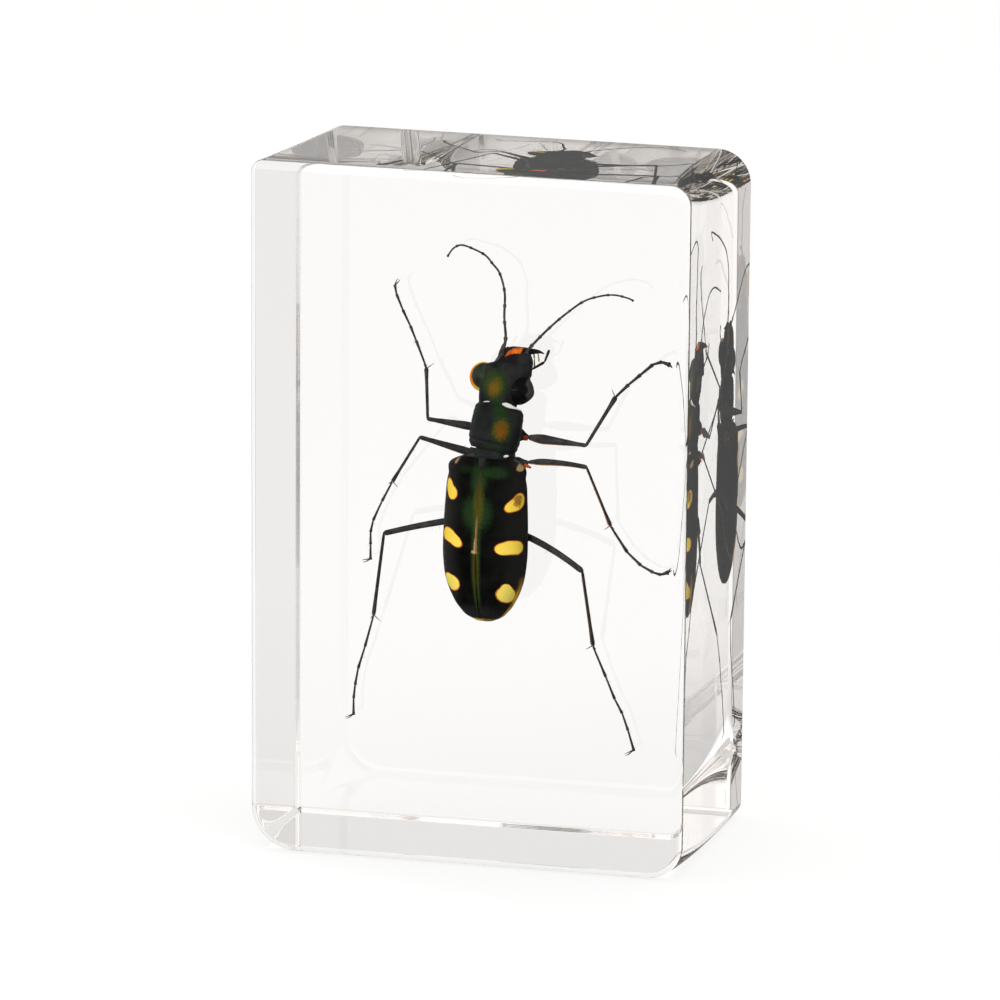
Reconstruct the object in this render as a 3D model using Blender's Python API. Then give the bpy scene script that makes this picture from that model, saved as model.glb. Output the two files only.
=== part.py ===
"""A tiger beetle sealed in an upright block of clear casting resin.

The block stands on its small end, with its front face towards -Y and its base on Z = 0.
The beetle hangs head up with its back towards the front face. The clear block is parted
in two at the level where the first pour of resin set, and each half holds its share of
the pocket that the beetle fills.
"""

import math

import bmesh
import bpy
from mathutils import Matrix, Vector

MM = 0.001
SMOOTH_BELOW = math.radians(40)

# The block, in millimetres.
BLOCK_WIDTH = 28.0
BLOCK_DEPTH = 17.5
BLOCK_HEIGHT = 44.0
FRONT_EDGE = 0.7
REAR_EDGE = 0.35
FRONT_CORNERS = {"lower_left": 2.9, "lower_right": 2.2, "upper_right": 1.2, "upper_left": 0.8}
REAR_CORNERS = {"lower_left": 0.4, "lower_right": 1.0, "upper_right": 1.9, "upper_left": 1.1}
CORNER_STEPS = 5
EDGE_STEPS = 3
SIDE_STEPS = 4
PARTING_Y = 4.0
PARTING_GAP = 0.3

# The room between the beetle and the resin, in millimetres.
POCKET_ROOM = 0.42
BODY_ROOM = 0.55
POCKET_SIDES = 5

# Body sections: where each starts, how it leans to the right, how it pitches back and how
# it rolls, in degrees, then its stations. A station is the distance along the section, its
# half width, its rise towards the front face and its drop towards the back face.
ELYTRA = {
    "start": (-0.5, 3.2, 24.75),
    "lean": 181.4,
    "pitch": 2.0,
    "roll": 8.0,
    "stations": (
        (0.0, 1.5, 0.9, 1.2),
        (0.3, 2.2, 1.35, 1.7),
        (1.3, 2.55, 1.85, 1.95),
        (2.9, 2.7, 2.1, 2.0),
        (4.7, 2.77, 2.2, 1.95),
        (6.7, 2.75, 2.15, 1.75),
        (8.0, 2.55, 1.95, 1.5),
        (9.0, 2.15, 1.6, 1.2),
        (9.9, 1.52, 1.15, 0.85),
        (10.4, 0.9, 0.7, 0.5),
        (10.65, 0.35, 0.3, 0.25),
    ),
}
PRONOTUM = {
    "start": (-0.35, 3.9, 25.1),
    "lean": 9.0,
    "pitch": 5.0,
    "roll": 10.0,
    "stations": (
        (0.0, 1.25, 0.95, 1.05),
        (0.35, 1.55, 1.2, 1.25),
        (1.1, 1.66, 1.3, 1.35),
        (2.0, 1.64, 1.25, 1.3),
        (2.65, 1.5, 1.05, 1.15),
        (2.9, 1.25, 0.85, 0.95),
    ),
}
WAIST = {
    "start": (-0.4, 3.8, 24.0),
    "lean": 4.0,
    "pitch": 3.0,
    "roll": 8.0,
    "stations": ((0.0, 1.2, 1.0, 1.5), (0.8, 1.15, 0.9, 1.4), (1.6, 1.05, 0.75, 1.0)),
}
HEAD = {
    "start": (-0.25, 4.3, 27.75),
    "lean": 16.0,
    "pitch": 6.0,
    "roll": 16.0,
    "stations": (
        (0.0, 1.15, 0.75, 0.85),
        (0.6, 1.3, 1.0, 1.1),
        (1.4, 1.45, 1.1, 1.2),
        (2.3, 1.4, 1.0, 1.15),
        (2.85, 1.3, 0.85, 1.0),
        (3.15, 1.0, 0.7, 0.9),
        (3.7, 0.95, 0.5, 0.75),
        (4.0, 0.7, 0.25, 0.45),
    ),
}
BODY_SIDES = 18
EYE_ALONG = 1.65
EYE_ASIDE = 1.42
EYE_RADII = (0.85, 0.82, 0.95)

# Legs, in millimetres from the middle of the block's base: hip, trochanter, knee, ankle,
# then the joints of the foot and the tip of the claws. The last number is the femur's
# greatest radius.
LEGS = {
    "fore_right": (
        (0.6, 4.9, 26.2), (1.7, 5.2, 25.9), (5.7, 4.2, 25.7), (7.3, 6.2, 28.7),
        (8.1, 6.2, 29.5), (8.9, 5.9, 30.2), (9.7, 5.8, 30.9), (10.3, 5.6, 31.1), (11.0, 5.2, 31.0),
        0.34,
    ),
    "mid_right": (
        (0.5, 4.8, 24.1), (1.7, 5.2, 24.1), (6.0, 2.6, 24.5), (6.9, 7.2, 20.2),
        (8.0, 7.2, 18.6), (8.9, 7.2, 17.8), (9.7, 7.2, 17.4), (10.2, 7.1, 17.3), (10.9, 6.8, 17.8),
        0.24,
    ),
    "hind_right": (
        (0.3, 4.6, 20.6), (1.9, 4.9, 19.6), (5.9, 1.9, 17.9), (5.9, 6.8, 12.4),
        (6.7, 7.2, 10.4), (7.3, 7.2, 9.0), (7.8, 7.2, 8.1), (8.2, 7.2, 7.0), (8.6, 7.2, 5.7),
        (8.0, 7.2, 5.4), 0.2,
    ),
    "fore_left": (
        (-0.9, 4.9, 26.3), (-2.0, 5.2, 26.4), (-4.4, 2.8, 27.0), (-5.1, 6.2, 29.9),
        (-6.2, 6.4, 32.5), (-6.7, 6.4, 33.5), (-7.1, 6.3, 34.5), (-7.2, 6.2, 35.1), (-6.9, 6.1, 35.5),
        0.28,
    ),
    "mid_left": (
        (-0.9, 4.9, 24.3), (-2.0, 5.2, 24.9), (-4.9, 2.8, 25.8), (-7.4, 6.6, 22.3),
        (-8.1, 6.8, 21.0), (-8.7, 6.9, 19.7), (-8.9, 7.1, 18.9), (-8.9, 7.1, 17.1), (-9.4, 6.9, 17.0),
        0.23,
    ),
    "hind_left": (
        (-1.2, 4.6, 20.8), (-3.1, 4.9, 20.2), (-7.3, 3.1, 19.4), (-8.6, 6.6, 13.5),
        (-9.2, 6.8, 11.4), (-9.7, 7.1, 9.9), (-9.9, 7.1, 8.8), (-10.0, 7.1, 6.8), (-10.5, 6.9, 6.6),
        0.22,
    ),
}
LEG_SIDES = 6
TIBIA_RADII = (0.11, 0.12, 0.15)
FOOT_RADIUS = 0.09
CLAW_SPREAD = 0.16
SPUR_LENGTH = 0.34

# Feelers and mouth parts, in the same millimetres.
FEELERS = {
    "left": (
        (0.4, 4.7, 30.7), (0.4, 4.3, 32.3), (0.3, 4.3, 33.6), (0.3, 4.4, 35.1), (-0.1, 4.8, 36.3),
        (-0.7, 5.3, 36.9), (-1.2, 5.8, 37.3), (-2.0, 6.3, 37.6), (-2.9, 6.7, 37.8), (-3.7, 5.8, 37.1),
    ),
    "right": (
        (1.5, 4.7, 30.9), (2.5, 4.2, 32.3), (3.4, 3.9, 33.2), (4.3, 3.8, 34.0), (5.5, 3.7, 34.9),
        (6.6, 3.7, 35.3), (7.5, 3.8, 35.4), (8.3, 4.2, 35.2), (8.6, 4.6, 35.0),
    ),
}
FEELER_RADIUS = 0.085
SCAPE_RADIUS = 0.15
MOUTH_PARTS = {
    "mandible_right": ((1.6, 4.9, 31.2), (2.0, 5.1, 31.6), (2.4, 5.4, 31.6), (2.7, 5.6, 31.2)),
    "mandible_left": ((0.6, 5.2, 31.0), (0.7, 5.6, 31.5), (1.1, 6.0, 31.6), (1.6, 6.0, 31.4)),
    "palp_right": ((1.4, 5.2, 29.9), (1.9, 5.6, 30.2), (2.7, 5.8, 30.7), (3.0, 5.8, 31.5)),
    "palp_left": ((0.1, 5.3, 30.1), (-0.2, 5.8, 30.5), (-0.3, 6.1, 31.1), (0.0, 6.2, 31.7)),
}
MOUTH_RADII = {"mandible": (0.24, 0.2, 0.13, 0.06), "palp": (0.12, 0.1, 0.08, 0.06)}


def clear_scene():
    for found in list(bpy.data.objects):
        bpy.data.objects.remove(found, do_unlink=True)


def make_material(name, colour, roughness, transmission=0.0, ior=1.5):
    material = bpy.data.materials.new(name)
    material.use_nodes = True
    shader = material.node_tree.nodes["Principled BSDF"]
    shader.inputs["Base Color"].default_value = (*colour, 1.0)
    shader.inputs["Roughness"].default_value = roughness
    shader.inputs["Metallic"].default_value = 0.0
    shader.inputs["Transmission Weight"].default_value = transmission
    shader.inputs["IOR"].default_value = ior
    return material


def object_from_rings(name, rings):
    """A closed skin over rings of equal length, with a flat face at each end."""
    build = bmesh.new()
    rows = [[build.verts.new(Vector(point) * MM) for point in ring] for ring in rings]
    count = len(rows[0])
    for low, high in zip(rows, rows[1:]):
        for i in range(count):
            j = (i + 1) % count
            build.faces.new((low[i], low[j], high[j], high[i]))
    build.faces.new(rows[0][::-1])
    build.faces.new(rows[-1])
    bmesh.ops.recalc_face_normals(build, faces=build.faces)
    mesh = bpy.data.meshes.new(name)
    build.to_mesh(mesh)
    build.free()
    mesh.shade_smooth()
    mesh.set_sharp_from_angle(angle=SMOOTH_BELOW)
    made = bpy.data.objects.new(name, mesh)
    bpy.context.scene.collection.objects.link(made)
    return made


def tube(name, points, radii, sides):
    """A round bar along points, with its own radius at each."""
    points = [Vector(point) for point in points]
    steps = [(b - a).normalized() for a, b in zip(points, points[1:])]
    across = steps[0].orthogonal().normalized()
    rings = []
    for i, (point, radius) in enumerate(zip(points, radii)):
        along = (steps[max(i - 1, 0)] + steps[min(i, len(steps) - 1)]).normalized()
        across = (across - along * across.dot(along)).normalized()
        beside = along.cross(across)
        turns = [math.tau * k / sides for k in range(sides)]
        rings.append([point + (across * math.cos(t) + beside * math.sin(t)) * radius for t in turns])
    return object_from_rings(name, rings)


def section_matrix(section):
    """Turns a body section's own frame, along +Z with its back towards -Y, into the block's."""
    lean = Matrix.Rotation(math.radians(section["lean"]), 4, "Y")
    pitch = Matrix.Rotation(math.radians(-section["pitch"]), 4, "X")
    return Matrix.Translation(section["start"]) @ lean @ pitch @ section_roll(section)


def section_roll(section):
    """The back is turned to the viewer's left, whichever way up the section runs."""
    upright = math.cos(math.radians(section["lean"])) > 0
    angle = -section["roll"] if upright else section["roll"]
    return Matrix.Rotation(math.radians(angle), 4, "Z")


def body_section(name, section, sides, room=0.0):
    """A body section as a skin over oval rings, grown all round by room."""
    place = section_matrix(section)
    rings = []
    stations = section["stations"]
    for index, (along, half_width, rise, drop) in enumerate(stations):
        if index == 0:
            along -= room
        if index == len(stations) - 1:
            along += room
        ring = []
        for k in range(sides):
            turn = math.tau * k / sides
            height = rise if math.cos(turn) > 0 else drop
            x = (half_width + room) * math.sin(turn)
            y = -(height + room) * math.cos(turn)
            ring.append(place @ Vector((x, y, along)))
        rings.append(ring)
    return object_from_rings(name, rings)


def eye(name, side, room=0.0, rings=7, sides=12):
    """One of the bulging eyes, an egg shape set into the side of the head."""
    build = bmesh.new()
    bmesh.ops.create_uvsphere(build, u_segments=sides, v_segments=rings, radius=1.0)
    mesh = bpy.data.meshes.new(name)
    build.to_mesh(mesh)
    build.free()
    scale = Matrix.Diagonal((*[(radius + room) * MM for radius in EYE_RADII], 1.0))
    place = section_matrix(HEAD)
    centre = place @ Vector((side * EYE_ASIDE, -0.1, EYE_ALONG))
    turn = place.to_3x3().to_4x4()
    mesh.transform(Matrix.Translation(centre * MM) @ turn @ scale)
    mesh.shade_smooth()
    made = bpy.data.objects.new(name, mesh)
    bpy.context.scene.collection.objects.link(made)
    return made


def leg_parts(name, leg):
    """Coxa, femur, tibia, jointed foot, two claws and two spurs of one leg."""
    *joints, thick = leg
    hip, trochanter, knee, ankle, *foot = [Vector(joint) for joint in joints]
    thigh = knee - trochanter
    femur = [trochanter + thigh * share for share in (-0.03, 0.06, 0.25, 0.55, 0.85, 1.03)]
    femur_radii = [thick * share for share in (0.5, 0.8, 1.0, 0.85, 0.62, 0.5)]
    shin = ankle - knee
    tibia = [knee + shin * share for share in (-0.02, 0.5, 1.0)]
    toes, claw_tip = [ankle, *foot[:-1]], foot[-1]
    sole = [toes[0]]
    widths = [FOOT_RADIUS * 0.9]
    for low, high in zip(toes, toes[1:]):
        sole += [low.lerp(high, 0.88), high]
        widths += [FOOT_RADIUS * 1.3, FOOT_RADIUS * 0.8]
    parts = [
        tube(name + "_coxa", (hip, trochanter), (0.6, thick * 0.75), LEG_SIDES + 2),
        tube(name + "_femur", femur, femur_radii, LEG_SIDES),
        tube(name + "_tibia", tibia, TIBIA_RADII, LEG_SIDES),
        tube(name + "_foot", sole, widths, LEG_SIDES),
    ]
    sideways = shin.cross(claw_tip - toes[-1]).normalized()
    for side in (-1, 1):
        reach = claw_tip + sideways * CLAW_SPREAD * side
        middle = toes[-1].lerp(reach, 0.6) + sideways * CLAW_SPREAD * 0.3 * side
        root = toes[-1].lerp(toes[-2], 0.06)
        parts.append(tube(f"{name}_claw_{side}", (root, middle, reach), (0.07, 0.055, 0.03), 4))
        spur_end = ankle + (shin.normalized() + sideways * 0.7 * side) * SPUR_LENGTH
        spur_root = ankle - shin.normalized() * 0.1
        parts.append(tube(f"{name}_spur_{side}", (spur_root, spur_end), (0.07, 0.03), 4))
    return parts


def leg_pocket(name, leg):
    """The room round one leg, in three straight or gently bent runs."""
    *joints, thick = leg
    hip, trochanter, knee, ankle, *foot = [Vector(joint) for joint in joints]
    grown = POCKET_ROOM / math.cos(math.pi / POCKET_SIDES)
    before_hip = hip - (trochanter - hip).normalized() * grown
    past_hip = trochanter + (trochanter - hip).normalized() * grown
    before_thigh = trochanter - (knee - trochanter).normalized() * grown
    past_knee = knee + (knee - trochanter).normalized() * grown
    before_knee = knee - (ankle - knee).normalized() * grown * 0.6
    past_ankle = ankle + (ankle - knee).normalized() * grown
    past_claws = foot[-1] + (foot[-1] - foot[-2]).normalized() * grown
    before_foot = ankle - (foot[0] - ankle).normalized() * grown
    toes = [before_foot, *foot, past_claws]
    wide = CLAW_SPREAD + 0.1
    foot_radii = [0.42 + grown, *[FOOT_RADIUS * 1.6 + grown] * (len(toes) - 4)]
    foot_radii += [wide + grown] * 3
    return [
        tube(name + "_room_1", (before_hip, past_hip), (0.72 + grown, thick + grown), POCKET_SIDES),
        tube(name + "_room_2", (before_thigh, past_knee), (thick + grown, thick + grown), POCKET_SIDES),
        tube(name + "_room_3", (before_knee, past_ankle), (0.2 + grown, 0.46 + grown), POCKET_SIDES),
        tube(name + "_room_4", toes, foot_radii, POCKET_SIDES),
    ]


def beetle_parts():
    parts = [
        body_section("elytra", ELYTRA, BODY_SIDES + 2),
        body_section("waist", WAIST, BODY_SIDES - 6),
        body_section("pronotum", PRONOTUM, BODY_SIDES),
        body_section("head", HEAD, BODY_SIDES - 2),
        eye("eye_left", -1),
        eye("eye_right", 1),
    ]
    for side, points in FEELERS.items():
        radii = [SCAPE_RADIUS, SCAPE_RADIUS * 0.8, *[FEELER_RADIUS] * (len(points) - 2)]
        parts.append(tube("feeler_" + side, points, radii, 5))
    for name, points in MOUTH_PARTS.items():
        parts.append(tube(name, points, MOUTH_RADII[name.split("_")[0]], 6))
    for name, leg in LEGS.items():
        parts += leg_parts(name, leg)
    return parts


def pocket_parts():
    parts = [
        body_section("elytra_room", ELYTRA, 12, BODY_ROOM),
        body_section("waist_room", WAIST, 9, BODY_ROOM),
        body_section("pronotum_room", PRONOTUM, 11, BODY_ROOM),
        body_section("head_room", HEAD, 11, BODY_ROOM),
        eye("eye_left_room", -1, BODY_ROOM, 6, 8),
        eye("eye_right_room", 1, BODY_ROOM, 6, 8),
    ]
    grown = POCKET_ROOM / math.cos(math.pi / POCKET_SIDES)
    for name, points in {**FEELERS, **MOUTH_PARTS}.items():
        thick = 0.26 if name.startswith("mandible") else SCAPE_RADIUS
        first, last = Vector(points[0]), Vector(points[-1])
        past = last + (last - Vector(points[-2])).normalized() * grown
        route = [first, *points[1:-1], past]
        radii = [thick + grown, *[FEELER_RADIUS + 0.05 + grown] * (len(route) - 1)]
        parts.append(tube(name + "_room", route, radii, POCKET_SIDES))
    for name, leg in LEGS.items():
        parts += leg_pocket(name, leg)
    return parts


def fuse(name, parts):
    """Unites overlapping closed parts into one body and removes the parts."""
    group = bpy.data.collections.new(name + "_parts")
    bpy.context.scene.collection.children.link(group)
    base, *others = parts
    for part in others:
        bpy.context.scene.collection.objects.unlink(part)
        group.objects.link(part)
    union = base.modifiers.new("union", "BOOLEAN")
    union.operation = "UNION"
    union.solver = "EXACT"
    union.use_self = True
    union.operand_type = "COLLECTION"
    union.collection = group
    bpy.context.view_layer.update()
    graph = bpy.context.evaluated_depsgraph_get()
    mesh = bpy.data.meshes.new_from_object(base.evaluated_get(graph))
    for part in parts:
        bpy.data.objects.remove(part, do_unlink=True)
    bpy.data.collections.remove(group)
    mesh.name = name
    mesh.shade_smooth()
    mesh.set_sharp_from_angle(angle=SMOOTH_BELOW)
    made = bpy.data.objects.new(name, mesh)
    bpy.context.scene.collection.objects.link(made)
    return made


def corner_round(name, y):
    """A corner's radius at a depth: that of the front fades to that of the rear."""
    way = (y + BLOCK_DEPTH / 2 - FRONT_EDGE) / (BLOCK_DEPTH - FRONT_EDGE - REAR_EDGE)
    left = 1.0 - min(max(way, 0.0), 1.0)
    return REAR_CORNERS[name] + (FRONT_CORNERS[name] - REAR_CORNERS[name]) * left**3


def block_ring(y, inset):
    """The block's outline at one depth, with a round of its own at each corner."""
    side = BLOCK_WIDTH / 2
    corners = (
        ("lower_left", -1, 0, 180),
        ("lower_right", 1, 0, 270),
        ("upper_right", 1, 1, 0),
        ("upper_left", -1, 1, 90),
    )
    outline = []
    for name, x_side, top, first_angle in corners:
        radius = corner_round(name, y)
        x = x_side * (side - radius)
        z = BLOCK_HEIGHT - radius if top else radius
        for step in range(CORNER_STEPS + 1):
            angle = math.radians(first_angle + 90 * step / CORNER_STEPS)
            reach = radius - inset
            outline.append((x + reach * math.cos(angle), y, z + reach * math.sin(angle)))
    return outline


def resin_half(name, face_y, edge_round, parting_y, pocket, material):
    """One half of the clear block, from its polished face to the parting, with its pocket."""
    inward = 1 if parting_y > face_y else -1
    rings = []
    for step in range(EDGE_STEPS + 1):
        angle = math.radians(90 * step / EDGE_STEPS)
        inset = edge_round * (1 - math.sin(angle))
        rings.append(block_ring(face_y + inward * edge_round * (1 - math.cos(angle)), inset))
    start = face_y + inward * edge_round
    for step in range(1, SIDE_STEPS + 1):
        rings.append(block_ring(start + (parting_y - start) * step / SIDE_STEPS, 0.0))
    half = object_from_rings(name, rings)
    cut = half.modifiers.new("pocket", "BOOLEAN")
    cut.operation = "DIFFERENCE"
    cut.solver = "EXACT"
    cut.use_self = True
    cut.object = pocket
    half.data.materials.append(material)
    return half


def main():
    clear_scene()
    beetle = fuse("tiger_beetle", beetle_parts())
    beetle.data.materials.clear()
    beetle.data.materials.append(make_material("beetle_black", (0.012, 0.02, 0.01), 0.3))
    pocket = fuse("pocket", pocket_parts())
    pocket.hide_render = True
    pocket.display_type = "WIRE"
    resin = make_material("clear_resin", (0.97, 0.975, 0.97), 0.02, 1.0, 1.57)
    front_y = -BLOCK_DEPTH / 2
    front_parting, rear_parting = PARTING_Y - PARTING_GAP / 2, PARTING_Y + PARTING_GAP / 2
    resin_half("resin_front_half", front_y, FRONT_EDGE, front_parting, pocket, resin)
    resin_half("resin_back_half", -front_y, REAR_EDGE, rear_parting, pocket, resin)


main()
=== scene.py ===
"""A tiger beetle sealed in a small upright block of clear casting resin."""

import math

import bmesh
import bpy
import numpy as np
from mathutils import Matrix, Vector


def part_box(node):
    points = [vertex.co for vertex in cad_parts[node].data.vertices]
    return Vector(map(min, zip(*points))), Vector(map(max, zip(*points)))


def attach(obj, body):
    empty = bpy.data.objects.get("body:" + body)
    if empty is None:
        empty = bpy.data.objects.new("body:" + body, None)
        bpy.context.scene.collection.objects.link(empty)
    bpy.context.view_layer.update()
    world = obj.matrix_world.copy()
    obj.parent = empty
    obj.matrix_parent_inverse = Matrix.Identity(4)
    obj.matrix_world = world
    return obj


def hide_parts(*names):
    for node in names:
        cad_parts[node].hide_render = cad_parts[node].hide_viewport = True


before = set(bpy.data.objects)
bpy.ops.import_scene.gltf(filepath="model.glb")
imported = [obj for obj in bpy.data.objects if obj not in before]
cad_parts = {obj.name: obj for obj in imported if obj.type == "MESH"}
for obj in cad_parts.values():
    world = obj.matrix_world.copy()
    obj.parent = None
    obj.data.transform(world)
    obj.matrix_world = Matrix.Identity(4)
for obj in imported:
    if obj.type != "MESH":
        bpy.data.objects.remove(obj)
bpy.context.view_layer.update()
MM = 0.001

# ---- The photograph's view ---------------------------------------------------------------
# A long lens looks at the middle of the block from its front right and a little from above.
# The block's middle is half of its height above the floor that it stands on.
VIEW_DISTANCE = 360.267
VIEW_RIGHT = math.radians(15.009)
VIEW_UP = math.radians(11.46)
VIEW_ROLL = math.radians(0.416)
SENSOR_WIDTH = 36.0
FOCAL_LENGTH = 204.66
FRAME_SHIFT = (-0.00121, -0.00437)


def put_in(name, data):
    """An object made of this mesh, lens or lamp, put in the scene."""
    made = bpy.data.objects.new(name, data)
    bpy.context.scene.collection.objects.link(made)
    return made


block_low, block_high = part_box("resin_front_half")
back_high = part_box("resin_back_half")[1]
block_middle = Vector((0.0, 0.0, (block_low[2] + block_high[2]) / 2))
to_lens = Vector((
    math.sin(VIEW_RIGHT) * math.cos(VIEW_UP),
    -math.cos(VIEW_RIGHT) * math.cos(VIEW_UP),
    math.sin(VIEW_UP),
))
level = Vector((0, 0, 1)).cross(to_lens).normalized()
upright = to_lens.cross(level)
right = level * math.cos(VIEW_ROLL) + upright * math.sin(VIEW_ROLL)
above = to_lens.cross(right)
lens = bpy.data.cameras.new("photo_view")
lens.sensor_width = SENSOR_WIDTH
lens.lens = FOCAL_LENGTH
lens.shift_x, lens.shift_y = FRAME_SHIFT
lens.clip_start = 0.01
camera = put_in("photo_view", lens)
stands_at = Matrix.Translation(block_middle + to_lens * VIEW_DISTANCE * MM)
camera.matrix_world = stands_at @ Matrix((right, above, to_lens)).transposed().to_4x4()
bpy.context.scene.camera = camera

# ---- Floor and light ---------------------------------------------------------------------
# A white sheet that glows evenly, so that hardly a shadow falls on it, in a white room that is
# brighter in front and above. Each time that light is turned back inside the block it loses
# a little on the hand-polished faces; floor and sky are dimmed for it here.
FLOOR_REACH = 6.0
FLOOR_DROP = 0.00003
FLOOR_WHITE = 0.12
FLOOR_GLOW = 0.82
UNDER_BLOCK = 1.0
UNDER_EDGE = (0.0105, 0.0135)
BLOCK_NARROWER = 0.00525
FRONT_LEFT_GLOW = 0.55
FRONT_LEFT_LEAN = 0.5
FRONT_LEFT_EDGE = (-0.06, -0.01)
POLISH = 0.89
POLISH_LEAST = 0.8
WARM_PER_TURN = 0.5
POLISHED_WHITE = (1, 0.995, 0.99)
POLISHED_WARM = (1, 0.975, 0.96)

floor_mesh = bpy.data.meshes.new("floor")
SHEET_CORNERS = ((-1, -1), (1, -1), (1, 1), (-1, 1))
corners = [(x * FLOOR_REACH, y * FLOOR_REACH, -FLOOR_DROP) for x, y in SHEET_CORNERS]
floor_mesh.from_pydata(corners, [], [(0, 1, 2, 3)])
floor = put_in("floor", floor_mesh)
floor.visible_glossy = False
paper = bpy.data.materials.new("white_paper")
paper.use_nodes = True
tree = paper.node_tree
paper_shader = tree.nodes["Principled BSDF"]
paper_shader.inputs["Roughness"].default_value = 0.9
paper_shader.inputs["Specular IOR Level"].default_value = 0.0


def worked(tree, kind, first, second, third=None):
    """One sum on two or three numbers, each a plain value or a socket of the tree."""
    node = tree.nodes.new("ShaderNodeMath")
    node.operation = kind
    for socket, given in zip(node.inputs, (first, second, third)):
        if isinstance(given, (int, float)):
            socket.default_value = given
        elif given:
            tree.links.new(given, socket)
    return node.outputs[0]


def eased(tree, value, low, high, at_low, at_high, kind="SMOOTHSTEP"):
    """A step, soft if not told otherwise, as a value goes from low to high."""
    node = tree.nodes.new("ShaderNodeMapRange")
    node.interpolation_type = kind
    tree.links.new(value, node.inputs["Value"])
    stops = (("From Min", low), ("From Max", high), ("To Min", at_low), ("To Max", at_high))
    for name, number in stops:
        node.inputs[name].default_value = number
    return node.outputs["Result"]


def axes_of(tree, place):
    """The X, Y and Z of a place, each as a value of its own."""
    node = tree.nodes.new("ShaderNodeSeparateXYZ")
    tree.links.new(place, node.inputs[0])
    return tuple(node.outputs)


def turned_back(tree):
    """What is left of the light after its turns inside the block, and its tint."""
    turns = tree.nodes.new("ShaderNodeLightPath").outputs["Glossy Depth"]
    tint = tree.nodes.new("ShaderNodeMix")
    tint.data_type = "RGBA"
    tint.inputs[6].default_value = (*POLISHED_WHITE, 1)
    tint.inputs[7].default_value = (*POLISHED_WARM, 1)
    warmth = worked(tree, "MULTIPLY", turns, WARM_PER_TURN)
    tree.links.new(worked(tree, "MINIMUM", warmth, 1.0), tint.inputs[0])
    left_over = worked(tree, "MAXIMUM", worked(tree, "POWER", POLISH, turns), POLISH_LEAST)
    return left_over, tint.outputs[2]


where = tree.nodes.new("ShaderNodeTexCoord")
across, away, _ = axes_of(tree, where.outputs["Object"])
left_over, tint = turned_back(tree)
in_depth = worked(tree, "ADD", worked(tree, "ABSOLUTE", away, 0), BLOCK_NARROWER)
beside = worked(tree, "MAXIMUM", worked(tree, "ABSOLUTE", across, 0), in_depth)
lit_below = eased(tree, beside, *UNDER_EDGE, UNDER_BLOCK, 0)
to_front_left = worked(tree, "MULTIPLY_ADD", across, FRONT_LEFT_LEAN, away)
lit_in_front = eased(tree, to_front_left, *FRONT_LEFT_EDGE, FRONT_LEFT_GLOW, 0)
glow = worked(tree, "ADD", worked(tree, "ADD", FLOOR_GLOW, lit_below), lit_in_front)
tree.links.new(worked(tree, "MULTIPLY", glow, left_over), paper_shader.inputs["Emission Strength"])
tree.links.new(tint, paper_shader.inputs["Emission Color"])
sheet_white = tree.nodes.new("ShaderNodeCombineColor")
for channel in sheet_white.inputs[:3]:
    tree.links.new(worked(tree, "MULTIPLY", left_over, FLOOR_WHITE), channel)
tree.links.new(sheet_white.outputs[0], paper_shader.inputs["Base Color"])
floor.data.materials.append(paper)

SKY_BEHIND = 0.92
SKY_ABOVE = 1.25
SKY_FRONT = 2.0
SKY_LEAN = 0.45
SKY_FRONT_TO_BEHIND = (-0.9, 0.6)
SKY_RISE = (0.3, 0.8)
MIRRORED_FRONT = 0.03
MIRRORED_BEHIND = 0.22
MIRRORED_FRONT_TO_BEHIND = (-0.75, 0.2)
MIRRORED_LAMP = 1.6
MIRRORED_RISE = (0.3, 0.45)
world = bpy.data.worlds.new("studio")
bpy.context.scene.world = world
world.use_nodes = True
tree = world.node_tree
where = tree.nodes.new("ShaderNodeTexCoord")
across, away, up = axes_of(tree, where.outputs["Generated"])
front_left = worked(tree, "MULTIPLY_ADD", across, SKY_LEAN, away)
round_about = eased(tree, front_left, *SKY_FRONT_TO_BEHIND, SKY_FRONT, SKY_BEHIND)
overhead = eased(tree, up, *SKY_RISE, SKY_BEHIND, SKY_ABOVE)
sky = worked(tree, "MAXIMUM", round_about, overhead)
low_mirrored = eased(tree, away, *MIRRORED_FRONT_TO_BEHIND, MIRRORED_FRONT, MIRRORED_BEHIND)
high_mirrored = eased(tree, up, *MIRRORED_RISE, 0, MIRRORED_LAMP)
mirrored = worked(tree, "MAXIMUM", low_mirrored, high_mirrored)
outside = tree.nodes.new("ShaderNodeLightPath").outputs["Is Reflection Ray"]
light = worked(tree, "MULTIPLY_ADD", worked(tree, "SUBTRACT", mirrored, sky), outside, sky)
left_over, tint = turned_back(tree)
background = tree.nodes["Background"]
tree.links.new(worked(tree, "MULTIPLY", light, left_over), background.inputs["Strength"])
tree.links.new(tint, background.inputs["Color"])

# A soft lamp from the front left, which lights the beetle but shows in none of the faces.
LAMP_AT = (-0.14, -0.74, 0.3)
LAMP_SIDE = 0.3
LAMP_WATTS = 7.3
soft_box = bpy.data.lights.new("soft_box", "AREA")
soft_box.size = LAMP_SIDE
soft_box.energy = LAMP_WATTS
lamp = put_in("soft_box", soft_box)
lamp_turn = Vector(LAMP_AT).to_track_quat("Z", "Y").to_matrix().to_4x4()
lamp.matrix_world = Matrix.Translation(LAMP_AT) @ lamp_turn
lamp.visible_camera = lamp.visible_glossy = lamp.visible_transmission = False

# Light may turn many times inside the clear block before it leaves.
MOST_TURNS = 48
bpy.context.scene.view_settings.view_transform = "Standard"
rays = bpy.context.scene.cycles
rays.max_bounces = rays.transmission_bounces = rays.glossy_bounces = MOST_TURNS
rays.transparent_max_bounces = 16
rays.caustics_refractive = False

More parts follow.
